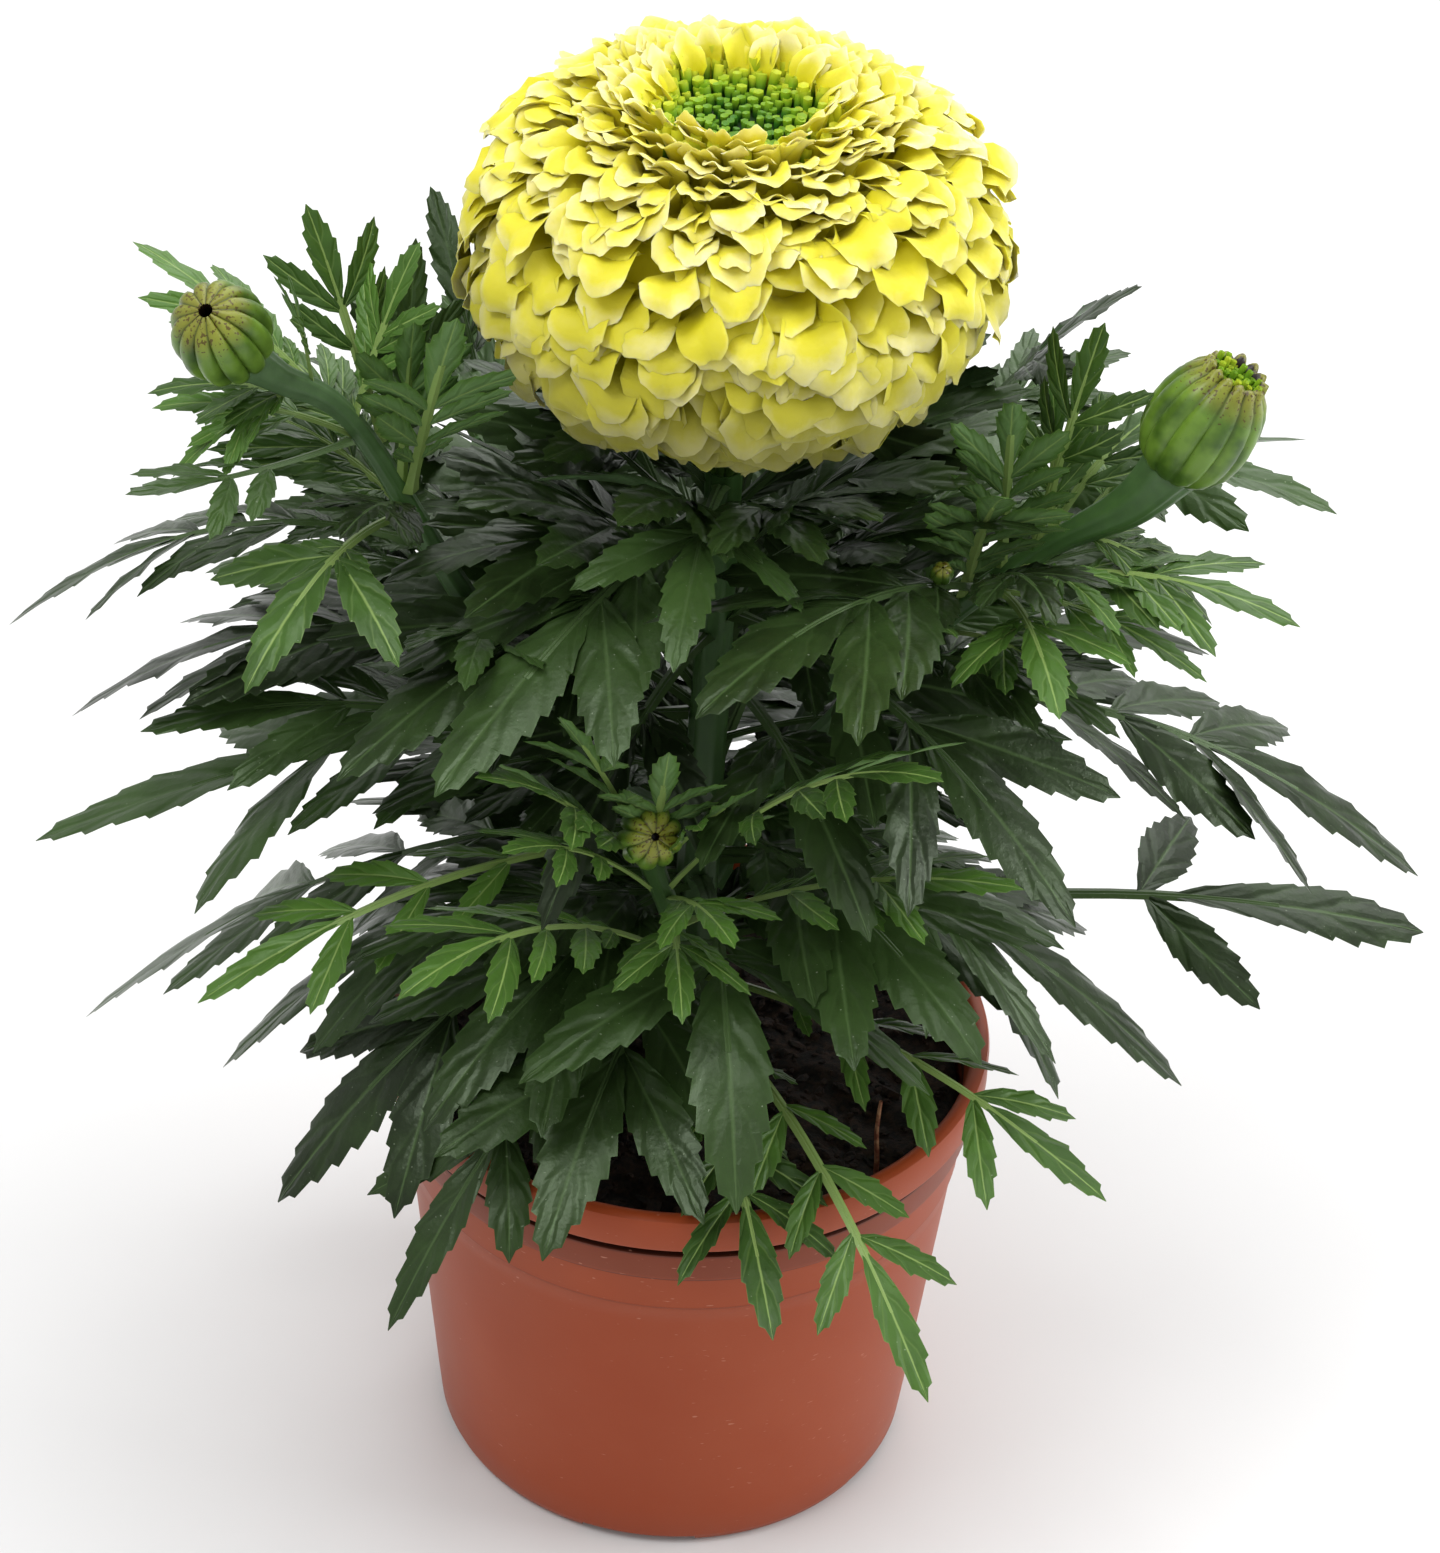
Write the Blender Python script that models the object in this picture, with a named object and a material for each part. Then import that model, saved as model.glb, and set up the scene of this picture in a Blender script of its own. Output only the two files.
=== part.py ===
"""A potted African marigold: one plant with a large double bloom, three buds and toothed
compound leaves, in a plastic nursery pot with a 12 cm lip.

Metres, +Z up. The origin is on the pot's axis, at the surface that the pot stands on, and -Y is the
front. Every solid keeps a gap of about 0.3 mm to the next one.
"""

from collections import namedtuple
from math import acos, cos, pi, radians, sin, sqrt
import random

import bmesh
import bpy
from mathutils import Matrix, Vector
from mathutils.bvhtree import BVHTree

MM = 0.001
UP = Vector((0, 0, 1))
GOLDEN_ANGLE = pi * (3 - sqrt(5))

# Driving sizes, in millimetres
POT_HEIGHT = 98.0
LIP_RADIUS = 60.0
LIP_WIDTH = 3.2
LIP_DROP = 7.5
BAND_RADIUS = 57.4
BAND_DROP = 13.5
BAND_STEP = 0.8
FOOT_RADIUS = 48.0
WALL = 1.6
FLOOR = 3.2
POT_SIDES = 36
RECESSES = 5
RECESS_WIDTH = 23.0
RECESS_REACH = 12.0
RECESS_HEIGHT = 2.0
SOIL_TOP = 86.0
GAP = 0.3
STEM_FOOT = 40.0
STEM_HOLE_RADIUS = 5.5
CALYX_BASE = (2, 0, 229)
BLOOM_CENTRE = (2, 0, 275)
BLOOM_RADIUS = 51.5
BLOOM_HALF_HEIGHT = 36.5
PETALS = 80
PETAL_LENGTH = 18.0
PETAL_WIDTH = 17.5
INNER_PETAL_NARROWING = 4.5
PETAL_HOOK = 3.0
PETAL_BLADE = 0.9
HIGHEST_PETAL = radians(27)
LOWEST_PETAL = radians(146)
CORE_TOP = 22.5
FLORETS = 38
FLORET_DISC_RADIUS = 17.0
FLORET_LENGTH = 4.6
OUTER_FLORET_EXTRA = 3.4
BLADE = 0.7
MIDRIB = 1.2
LEAF_GAP = 0.45
LEAFLET_DROOP = 0.16
LEAFLET_SWEEP = 0.08
LEAFLET_FOOT = 2.6

Finish = namedtuple("Finish", "colour roughness")
PLASTIC = Finish((0.24, 0.055, 0.026), 0.42)
POTTING_MIX = Finish((0.012, 0.009, 0.007), 0.95)
STEM_GREEN = Finish((0.045, 0.12, 0.03), 0.5)
PETAL_YELLOW = Finish((0.86, 0.78, 0.06), 0.55)
FLORET_GREEN = Finish((0.2, 0.42, 0.04), 0.6)
BUD_GREEN = Finish((0.16, 0.25, 0.04), 0.5)
OLD_LEAF = Finish((0.02, 0.04, 0.018), 0.38)
YOUNG_LEAF = Finish((0.05, 0.16, 0.03), 0.42)

placed = {}


def mm(*values):
    """A point given in millimetres."""
    return Vector(values) * MM


def material(finish, name):
    made = bpy.data.materials.get(name) or bpy.data.materials.new(name)
    made.use_nodes = True
    shader = made.node_tree.nodes["Principled BSDF"]
    shader.inputs["Base Color"].default_value = (*finish.colour, 1)
    shader.inputs["Roughness"].default_value = finish.roughness
    shader.inputs["Metallic"].default_value = 0
    made.diffuse_color = (*finish.colour, 1)
    return made


def add_object(name, mesh, finish, origin=Vector((0, 0, 0))):
    """Puts a mesh into the scene as a sub-part whose own origin is at a point of the plant."""
    body = bpy.data.objects.new(name, mesh)
    bpy.context.scene.collection.objects.link(body)
    body.location = origin
    mesh.materials.append(material(finish, name))
    mesh.shade_smooth()
    mesh.set_sharp_from_angle(angle=radians(40))
    return body


def keep(body):
    """Notes a finished solid, so that the leaves that come later are bent clear of it."""
    at = body.location
    corners = [vertex.co + at for vertex in body.data.vertices]
    sides = [tuple(polygon.vertices) for polygon in body.data.polygons]
    placed[body.name] = BVHTree.FromPolygons(corners, sides)


def mesh_from(name, corners, sides):
    mesh = bpy.data.meshes.new(name)
    mesh.from_pydata(corners, [], sides)
    mesh.update()
    return mesh


def loft(name, rings):
    """One closed skin over rings of equal point counts, anticlockwise as seen from the last one."""
    shape = bmesh.new()
    loops = [[shape.verts.new(point) for point in ring] for ring in rings]
    count = len(loops[0])
    for lower, upper in zip(loops, loops[1:]):
        for i in range(count):
            following = (i + 1) % count
            shape.faces.new((lower[i], lower[following], upper[following], upper[i]))
    shape.faces.new(reversed(loops[0]))
    shape.faces.new(loops[-1])
    mesh = bpy.data.meshes.new(name)
    shape.to_mesh(mesh)
    shape.free()
    return mesh


def turned_ring(radius, height, sides, wave=0.0, ribs=0):
    """A ring of points round Z, in millimetres, whose radius may swell with a number of ribs."""
    ring = []
    for i in range(sides):
        angle = 2 * pi * i / sides
        reach = radius * (1 + wave * cos(ribs * angle))
        ring.append(mm(reach * cos(angle), reach * sin(angle), height))
    return ring


def combine(body, others, operation):
    """Applies one Boolean of a list of objects to a body, and removes them."""
    helpers = bpy.data.collections.new(body.name + "_helpers")
    bpy.context.scene.collection.children.link(helpers)
    for other in others:
        other.hide_render = True
        other.display_type = "WIRE"
        helpers.objects.link(other)
    change = body.modifiers.new("combine", "BOOLEAN")
    change.operation = operation
    change.operand_type = "COLLECTION"
    change.collection = helpers
    # The petals and florets take the exact solver minutes, and all of them are closed.
    change.solver = "MANIFOLD" if operation == "UNION" else "EXACT"
    bpy.context.view_layer.objects.active = body
    bpy.ops.object.modifier_apply(modifier=change.name)
    for other in others:
        bpy.data.objects.remove(other)
    bpy.data.collections.remove(helpers)


def keep_outer_skin(body):
    """Deletes all but the largest skin, which fills any hollow that the joined petals sealed."""
    shape = bmesh.new()
    shape.from_mesh(body.data)
    waiting = set(shape.verts)
    skins = []
    while waiting:
        skin = []
        edge = [waiting.pop()]
        while edge:
            corner = edge.pop()
            skin.append(corner)
            for link in corner.link_edges:
                other = link.other_vert(corner)
                if other in waiting:
                    waiting.remove(other)
                    edge.append(other)
        skins.append(skin)
    skins.sort(key=len)
    for skin in skins[:-1]:
        bmesh.ops.delete(shape, geom=skin, context="VERTS")
    shape.to_mesh(body.data)
    shape.free()


# The pot and its soil


def wall_radius(height):
    """Outer radius of the tapered wall under the band."""
    top = POT_HEIGHT - BAND_DROP
    return FOOT_RADIUS + (BAND_RADIUS - BAND_STEP - FOOT_RADIUS) * height / top


def inner_radius(height):
    return wall_radius(height) - WALL


def make_pot():
    lip_foot = POT_HEIGHT - LIP_DROP
    band_foot = POT_HEIGHT - BAND_DROP
    outline = (
        (FOOT_RADIUS - 3.5, 0),
        (FOOT_RADIUS - 1.0, 0.8),
        (wall_radius(3.5), 3.5),
        (wall_radius(band_foot), band_foot),
        (BAND_RADIUS, band_foot + 0.6),
        (BAND_RADIUS + 0.2, lip_foot - 0.3),
        (LIP_RADIUS - 0.8, lip_foot - 0.3),
        (LIP_RADIUS, lip_foot + 0.5),
        (LIP_RADIUS, POT_HEIGHT - 0.7),
        (LIP_RADIUS - 0.7, POT_HEIGHT),
        (LIP_RADIUS - LIP_WIDTH, POT_HEIGHT),
        (inner_radius(band_foot), band_foot),
        (inner_radius(FLOOR), FLOOR),
    )
    rings = [turned_ring(radius, height, POT_SIDES) for radius, height in outline]
    pot = add_object("pot", loft("pot", rings), PLASTIC)
    recesses = []
    for i in range(RECESSES):
        # One recess shows at the front, a little left of the middle.
        turn = Matrix.Rotation(2 * pi * i / RECESSES + radians(-98), 4, "Z")
        slot = bmesh.new()
        bmesh.ops.create_cube(slot, size=1)
        size = (RECESS_REACH * MM, RECESS_WIDTH * MM, 2 * RECESS_HEIGHT * MM)
        bmesh.ops.scale(slot, vec=size, verts=slot.verts)
        bmesh.ops.translate(slot, vec=mm(FOOT_RADIUS - RECESS_REACH / 3, 0, 0), verts=slot.verts)
        bmesh.ops.transform(slot, matrix=turn, verts=slot.verts)
        mesh = bpy.data.meshes.new("recess")
        slot.to_mesh(mesh)
        slot.free()
        cutter = bpy.data.objects.new("recess", mesh)
        recesses.append(cutter)
    combine(pot, recesses, "DIFFERENCE")
    keep(pot)


def soil_height(x, y):
    """Crumbs of the potting mix, as low waves of different lengths."""
    return 1.1 * sin(0.21 * x + 1) * cos(0.17 * y) + 0.7 * sin(0.43 * y + 0.31 * x)


def make_soil():
    foot = FLOOR + GAP
    rim = inner_radius(SOIL_TOP) - 2 * GAP
    rings = [turned_ring(inner_radius(foot) - 2 * GAP, foot, POT_SIDES)]
    for share in (1.0, 0.82, 0.6, 0.36, 0.15):
        ring = turned_ring(rim * share, SOIL_TOP, POT_SIDES)
        for point in ring:
            crumbs = soil_height(point.x / MM, point.y / MM)
            point.z += (1.2 * (1 - share) + crumbs) * MM
        rings.append(ring)
    soil = add_object("soil", loft("soil", rings), POTTING_MIX)
    above = SOIL_TOP + 9
    hole = [turned_ring(STEM_HOLE_RADIUS, height, 12) for height in (STEM_FOOT - GAP, above)]
    combine(soil, [bpy.data.objects.new("stem_hole", loft("stem_hole", hole))], "DIFFERENCE")
    keep(soil)


# The stems

Stem = namedtuple("Stem", "points radii")
STEMS = {
    "main_stem": Stem(
        [(0, 0, STEM_FOOT), (0, 0, 90), (1, 1, 150), (2, 2, 200), (2, 0, 228.6)],
        (5.0, 4.4, 3.8, 3.2, 3.4),
    ),
    "branch_left": Stem(
        [(-6, -1.4, 150), (-20, -5, 163), (-45, -8, 204), (-65, -8, 240), (-80.6, -17, 258.5)],
        (2.6, 2.5, 2.4, 2.3, 3.4),
    ),
    "branch_right": Stem(
        [(6, -1.4, 152), (19, -5, 168), (40, -10, 200), (60, -12, 219), (79.5, -14, 238.5)],
        (2.6, 2.5, 2.4, 2.6, 3.6),
    ),
    "branch_front": Stem(
        [(-1, -6, 112), (-1.5, -16, 120), (-4.6, -29, 146), (-7.3, -40.8, 167)],
        (2.3, 2.1, 1.9, 2.4),
    ),
    "branch_back_left": Stem(
        [(-4.2, 4.6, 124), (-16, 18, 138), (-34, 36, 172), (-44, 46, 204)],
        (2.5, 2.3, 2.0, 1.6),
    ),
    "branch_back_right": Stem(
        [(4.6, 4.8, 134), (17, 18, 150), (35, 33, 184), (46, 42, 212)],
        (2.5, 2.3, 2.0, 1.6),
    ),
}


def blend_points(before, start, end, after, share):
    """A point on the smooth curve through four neighbours, between the middle two."""
    first = (end - before) / 2
    last = (after - start) / 2
    square, cube = share ** 2, share ** 3
    hermite = start * (2 * cube - 3 * square + 1) + end * (3 * square - 2 * cube)
    return hermite + first * (cube - 2 * square + share) + last * (cube - square)


def stem_point(stem, share):
    """Centre, direction and radius of a stem at a share of its length, in millimetres."""
    points = [Vector(point) for point in stem.points]
    last = len(points) - 1
    index = min(int(share * last), last - 1)
    part = share * last - index
    before = points[max(index - 1, 0)]
    after = points[min(index + 2, last)]
    start, end = points[index], points[index + 1]
    centre = blend_points(before, start, end, after, part)
    ahead = blend_points(before, start, end, after, part + 0.01)
    behind = blend_points(before, start, end, after, part - 0.01)
    radius = stem.radii[index] * (1 - part) + stem.radii[index + 1] * part
    return centre, (ahead - behind).normalized(), radius


def make_stems():
    for name, stem in STEMS.items():
        steps = 2 * (len(stem.points) - 1)
        sides = 8 if name == "main_stem" else 6
        rings = []
        for step in range(steps + 1):
            centre, along, radius = stem_point(stem, step / steps)
            across = along.cross(Vector((0, 1, 0.01))).normalized()
            turn = across.cross(along)
            ring = []
            for i in range(sides):
                angle = -2 * pi * i / sides
                ring.append((centre + radius * (across * cos(angle) + turn * sin(angle))) * MM)
            rings.append(ring)
        keep(add_object(name, loft(name, rings), STEM_GREEN))


# The bloom: a core that the petals stand out of, a green disc of florets, and the cup below


class Sheet:
    """A thin curved blade: points on its middle surface, and triangles that both faces share."""

    def __init__(self):
        self.points = []
        self.offsets = []
        self.triangles = []

    def add(self, point, normal, thickness):
        self.points.append(point * MM)
        self.offsets.append(normal * (thickness / 2 * MM))
        return len(self.points) - 1

    def bridge(self, near, far):
        """Fills from one row to the next, each (left, right), or to the single point of a tip."""
        if len(far) == 1:
            self.triangles.append((near[0], near[1], far[0]))
            return
        self.triangles.append((near[0], near[1], far[1]))
        self.triangles.append((near[0], far[1], far[0]))

    def faces(self):
        """Both faces and the edge between them."""
        count = len(self.points)
        edges = [pair for a, b, c in self.triangles for pair in ((a, b), (b, c), (c, a))]
        inside = set(edges)
        corners = [p + offset for p, offset in zip(self.points, self.offsets)]
        corners += [p - offset for p, offset in zip(self.points, self.offsets)]
        sides = list(self.triangles)
        sides += [(c + count, b + count, a + count) for a, b, c in self.triangles]
        for a, b in edges:
            if (b, a) not in inside:
                sides.append((b, a, a + count, b + count))
        return corners, sides


def polar(angle, azimuth):
    """The unit vector at an angle from straight up."""
    return Vector((sin(angle) * cos(azimuth), sin(angle) * sin(azimuth), cos(angle)))


def petal_sheet(angle, azimuth, wave):
    """One ray floret, from inside the core to its free end at this angle from the top."""
    heading = polar(angle, azimuth)
    tip = Vector((heading.x, heading.y, 0)) * BLOOM_RADIUS + UP * heading.z * BLOOM_HALF_HEIGHT
    # Petals by the hollow stand up, and the lower a petal is the more it hangs over the next.
    lean = radians(-8) + min(1, max(0, (angle - radians(28)) / radians(50))) * radians(46)
    along = polar(angle + lean, azimuth)
    upper = polar(angle + lean - pi / 2, azimuth)
    across = along.cross(upper)
    near_top = max(0, 1 - (angle - radians(30)) / radians(40))
    width = PETAL_WIDTH - INNER_PETAL_NARROWING * near_top
    sheet = Sheet()
    rows = []
    for share, spread, cup in ((0, 0.4, 0), (0.7, 1.0, 1.6), (1.0, 0.72, 0.6)):
        hook = upper * PETAL_HOOK * share ** 2 * (1 - near_top)
        centre = tip - along * PETAL_LENGTH * (1 - share) - hook
        reach = width / 2 * spread
        normal = (upper + along * 0.25 * share).normalized()
        left = centre - across * reach + upper * (cup + wave * share)
        right = centre + across * reach + upper * (cup - wave * share)
        middle = centre + along * (1.9 if share == 1.0 else 0) + upper * wave * 0.4 * share
        rows.append([sheet.add(point, normal, PETAL_BLADE) for point in (left, middle, right)])
    for near, far in zip(rows, rows[1:]):
        sheet.bridge((near[0], near[1]), (far[0], far[1]))
        sheet.bridge((near[1], near[2]), (far[1], far[2]))
    return sheet


def make_petals():
    centre = mm(*BLOOM_CENTRE)
    outline = ((9, -29.7), (27, -25), (39, -12), (41, 2), (37, 12), (29, 19), (20, CORE_TOP))
    rings = [turned_ring(radius, height, 20) for radius, height in outline]
    bloom = add_object("bloom_petals", loft("bloom_petals", rings), PETAL_YELLOW, centre)
    waves = random.Random(7)
    highest, lowest = cos(HIGHEST_PETAL), cos(LOWEST_PETAL)
    petals = []
    for i in range(PETALS):
        angle_cosine = highest + (lowest - highest) * (i + 0.5) / PETALS
        sheet = petal_sheet(acos(angle_cosine), i * GOLDEN_ANGLE, waves.uniform(-1.6, 1.6))
        petal = bpy.data.objects.new("petal", mesh_from("petal", *sheet.faces()))
        petal.location = centre
        petals.append(petal)
    combine(bloom, petals, "UNION")
    keep_outer_skin(bloom)
    keep(bloom)


def make_florets():
    base = Vector(BLOOM_CENTRE) + UP * (CORE_TOP + GAP)
    outline = ((FLORET_DISC_RADIUS - 1, 0), (FLORET_DISC_RADIUS, 1.2), (11, 2.6), (4, 2.2))
    rings = [turned_ring(radius, height, 20) for radius, height in outline]
    disc = add_object("bloom_florets", loft("bloom_florets", rings), FLORET_GREEN, base * MM)
    quills = []
    for i in range(FLORETS):
        reach = (FLORET_DISC_RADIUS - 1.6) * sqrt((i + 0.5) / FLORETS)
        azimuth = i * GOLDEN_ANGLE
        outward = Vector((cos(azimuth), sin(azimuth), 0))
        foot = outward * reach + UP * 0.4
        lean = (UP + outward * 0.35 * reach / FLORET_DISC_RADIUS).normalized()
        height = FLORET_LENGTH + OUTER_FLORET_EXTRA * (reach / FLORET_DISC_RADIUS) ** 2
        side = lean.cross(Vector((0.1, 1, 0))).normalized()
        turn = lean.cross(side)
        rings = []
        for share, radius in ((0, 0.9), (1, 1.2)):
            centre = foot + lean * height * share
            corners = [side * cos(a) + turn * sin(a) for a in (0, 2 * pi / 3, 4 * pi / 3)]
            rings.append([(centre + corner * radius) * MM for corner in corners])
        quill = bpy.data.objects.new("quill", loft("quill", rings))
        quill.location = base * MM
        quills.append(quill)
    combine(disc, quills, "UNION")
    keep_outer_skin(disc)
    keep(disc)


def make_calyx():
    outline = ((3.4, 0), (5.0, 4), (7.4, 8.5), (8.6, 13), (8.8, 16))
    rings = [turned_ring(radius, height, 20, 0.05, 10) for radius, height in outline]
    keep(add_object("bloom_calyx", loft("bloom_calyx", rings), BUD_GREEN, mm(*CALYX_BASE)))


# The buds

Bud = namedtuple("Bud", "radius length ribs mouth")
BUDS = {
    "left": Bud(9.6, 20, 10, 0.34),
    "right": Bud(10.8, 24, 10, 0.5),
    "front": Bud(6.2, 12, 8, 0.3),
}
# The smallest bud has no stem of its own yet, and grows straight out of the right branch.
BUD_TINY = Bud(2.8, 18, 5, 0.3)
BUD_TINY_FOOT = (40, -10.5, 201)
BUD_TINY_AXIS = (0, -0.5, 0.86)


def make_bud(name, bud, foot, axis):
    """A ribbed cup of joined bracts, open at the top as far as the bud's mouth."""
    outline = (
        (0.34, 0), (0.74, 0.1), (0.96, 0.3), (1.0, 0.5), (0.9, 0.75), (0.68, 0.92),
        (bud.mouth, 1.0), (bud.mouth * 0.7, 0.9),
    )
    rings = []
    for reach, share in outline:
        wave = 0.05 if 0 < share < 1 else 0.02
        rings.append(turned_ring(bud.radius * reach, bud.length * share, 2 * bud.ribs, wave, bud.ribs))
    body = add_object(name, loft(name, rings), BUD_GREEN, foot * MM)
    body.data.transform(UP.rotation_difference(axis).to_matrix().to_4x4())
    return body


def make_buds():
    for place, bud in BUDS.items():
        stem_end, along, _ = stem_point(STEMS["branch_" + place], 1)
        keep(make_bud("bud_" + place, bud, stem_end + along * GAP, along))
    branch = bpy.data.objects["branch_right"]
    axis = Vector(BUD_TINY_AXIS).normalized()
    combine(branch, [make_bud("bud_tiny", BUD_TINY, Vector(BUD_TINY_FOOT), axis)], "UNION")
    keep(branch)


# The leaves

# Outline rows of a leaflet: share of its length, and share of its half width. Each drop in width
# is the notch behind a tooth that points forwards.
OUTLINES = {
    1: ((0.54, 1.0), (0.6, 0.74)),
    2: ((0.34, 0.9), (0.4, 0.76), (0.62, 0.98), (0.68, 0.66)),
    3: ((0.24, 0.74), (0.29, 0.62), (0.46, 1.0), (0.52, 0.82), (0.7, 0.84), (0.76, 0.5)),
}
Leaf = namedtuple("Leaf", "rib pairs leaflet width end end_width teeth end_teeth spread bare")
KINDS = {
    "three": Leaf(1.1, 1, 42, 16, 52, 18, 1, 3, 58, 0.75),
    "broad": Leaf(1.1, 2, 38, 15, 44, 17, 1, 3, 42, 0.32),
    "long": Leaf(1.1, 3, 37, 14, 54, 15, 1, 2, 40, 0.24),
    "narrow": Leaf(1.0, 3, 27, 9, 38, 10.5, 1, 2, 42, 0.28),
    "young": Leaf(0.8, 3, 22, 7, 29, 8.5, 1, 2, 44, 0.28),
    "small": Leaf(0.7, 2, 16, 5.5, 20, 6.5, 1, 1, 44, 0.35),
}

# Each leaf: the stem that bears it, the share along that stem, its tip in millimetres, how far it
# arches as a share of its length, its roll in degrees, its kind and its age. The ones that show
# most come first, because each is placed clear of those before it.
Frond = namedtuple("Frond", "stem share tip arch roll kind finish")
FRONDS = {
    # At the front
    "leaf_front_1": Frond("main_stem", 0.92, (-48, -62, 198), 0.14, 0, "broad", OLD_LEAF),
    "leaf_front_2": Frond("main_stem", 0.97, (-7, -56, 222), 0.24, 0, "three", OLD_LEAF),
    "leaf_front_3": Frond("branch_right", 0.58, (-3, -64, 218), 0.26, 0, "broad", OLD_LEAF),
    "leaf_front_4": Frond("branch_front", 0.62, (43, -52, 195), 0.16, 0, "young", YOUNG_LEAF),
    "leaf_front_5": Frond("branch_front", 0.55, (-54, -72, 160), 0.16, 0, "young", YOUNG_LEAF),
    "leaf_front_6": Frond("main_stem", 0.44, (8, -84, 122), 0.40, 0, "three", OLD_LEAF),
    "leaf_front_7": Frond("main_stem", 0.31, (45, -92, 84), 0.22, 0, "young", YOUNG_LEAF),
    "leaf_front_8": Frond("main_stem", 0.28, (16, -85, 92), 0.20, 0, "young", YOUNG_LEAF),
    "leaf_front_9": Frond("main_stem", 0.34, (78, -62, 108), 0.16, 0, "young", YOUNG_LEAF),
    "leaf_front_10": Frond("main_stem", 0.37, (-27, -76, 102), 0.30, 0, "broad", OLD_LEAF),
    "leaf_front_11": Frond("main_stem", 0.58, (52, -64, 142), 0.24, 6, "broad", OLD_LEAF),
    "leaf_front_12": Frond("main_stem", 0.40, (-50, -52, 112), 0.24, 0, "broad", OLD_LEAF),
    "leaf_front_13": Frond("main_stem", 0.32, (-56, -66, 74), 0.34, 0, "narrow", OLD_LEAF),
    "leaf_front_14": Frond("main_stem", 0.66, (30, -64, 170), 0.22, 0, "three", OLD_LEAF),
    "leaf_front_15": Frond("main_stem", 0.70, (-30, -54, 166), 0.24, 0, "three", OLD_LEAF),
    # The left side, from the top down
    "leaf_left_1": Frond("branch_left", 0.77, (-105, 8, 267), 0.12, 10, "young", YOUNG_LEAF),
    "leaf_left_2": Frond("branch_left", 0.68, (-82, -48, 209), 0.30, 0, "three", YOUNG_LEAF),
    "leaf_left_3": Frond("branch_left", 0.58, (-129, -5, 192), 0.30, 12, "narrow", OLD_LEAF),
    "leaf_left_4": Frond("main_stem", 0.60, (-127, 0, 138), 0.12, 0, "long", OLD_LEAF),
    "leaf_left_5": Frond("main_stem", 0.47, (-122, 22, 76), 0.24, 10, "long", OLD_LEAF),
    "leaf_left_6": Frond("branch_left", 0.42, (-120, 8, 162), 0.30, 10, "long", OLD_LEAF),
    "leaf_left_7": Frond("main_stem", 0.80, (-80, -24, 198), 0.18, 0, "broad", OLD_LEAF),
    "leaf_left_8": Frond("main_stem", 0.53, (-93, -38, 130), 0.20, -6, "young", YOUNG_LEAF),
    "leaf_left_9": Frond("branch_left", 0.34, (-104, -18, 178), 0.20, -8, "narrow", OLD_LEAF),
    "leaf_left_10": Frond("main_stem", 0.43, (-92, -2, 84), 0.32, 6, "long", OLD_LEAF),
    "leaf_left_11": Frond("main_stem", 0.36, (-75, -32, 70), 0.36, -6, "broad", OLD_LEAF),
    "leaf_left_12": Frond("branch_left", 0.70, (-74, 6, 277), 0.08, -30, "small", YOUNG_LEAF),
    "leaf_left_13": Frond("branch_left", 0.64, (-46, -26, 274), 0.10, -20, "young", YOUNG_LEAF),
    "leaf_left_14": Frond("branch_left", 0.74, (-98, -38, 262), -0.06, 0, "small", OLD_LEAF),
    "leaf_left_15": Frond("branch_left", 0.60, (-60, 14, 266), 0.08, 20, "narrow", OLD_LEAF),
    # The right side, from the top down
    "leaf_right_1": Frond("branch_back_right", 0.94, (80, 46, 252), 0.14, 0, "three", OLD_LEAF),
    "leaf_right_2": Frond("branch_back_right", 0.80, (115, 2, 221), 0.26, 0, "narrow", OLD_LEAF),
    "leaf_right_3": Frond("branch_right", 0.74, (105, -32, 219), 0.18, 0, "young", YOUNG_LEAF),
    "leaf_right_4": Frond("branch_right", 0.44, (142, 8, 133), 0.24, 10, "long", OLD_LEAF),
    "leaf_right_5": Frond("main_stem", 0.37, (148, 22, 108), 0.14, 12, "three", OLD_LEAF),
    "leaf_right_6": Frond("main_stem", 0.45, (98, -8, 98), 0.28, 0, "long", OLD_LEAF),
    "leaf_right_7": Frond("branch_right", 0.22, (66, -34, 114), 0.24, 0, "narrow", OLD_LEAF),
    "leaf_right_8": Frond("branch_right", 0.66, (61, -54, 213), 0.24, 0, "three", YOUNG_LEAF),
    "leaf_right_9": Frond("branch_right", 0.70, (68, -4, 264), 0.10, 20, "small", YOUNG_LEAF),
    "leaf_right_10": Frond("main_stem", 0.72, (82, -26, 164), 0.26, 0, "broad", OLD_LEAF),
    # Behind
    "leaf_back_1": Frond("branch_back_left", 0.92, (-52, 56, 254), 0.10, 0, "three", OLD_LEAF),
    "leaf_back_2": Frond("branch_back_left", 0.66, (-98, 52, 166), 0.28, 0, "long", OLD_LEAF),
    "leaf_back_3": Frond("branch_back_left", 0.44, (-30, 98, 160), 0.28, 0, "long", OLD_LEAF),
    "leaf_back_4": Frond("branch_back_right", 0.60, (36, 102, 180), 0.28, 0, "long", OLD_LEAF),
    "leaf_back_5": Frond("branch_back_right", 0.40, (104, 60, 148), 0.28, 0, "long", OLD_LEAF),
    "leaf_back_6": Frond("main_stem", 0.40, (6, 98, 96), 0.34, 0, "long", OLD_LEAF),
}
# Sideways turns, lifts and slides along the stem that may clear a leaf, the smallest first.
SWINGS = sorted(
    (
        (turn, lift, slide)
        for turn in range(-30, 31, 5)
        for lift in range(-20, 21, 5)
        for slide in (-0.09, -0.06, -0.03, 0, 0.03, 0.06, 0.09)
    ),
    key=lambda swing: (abs(swing[0]) + abs(swing[1]) + 120 * abs(swing[2]), swing),
)


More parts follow.
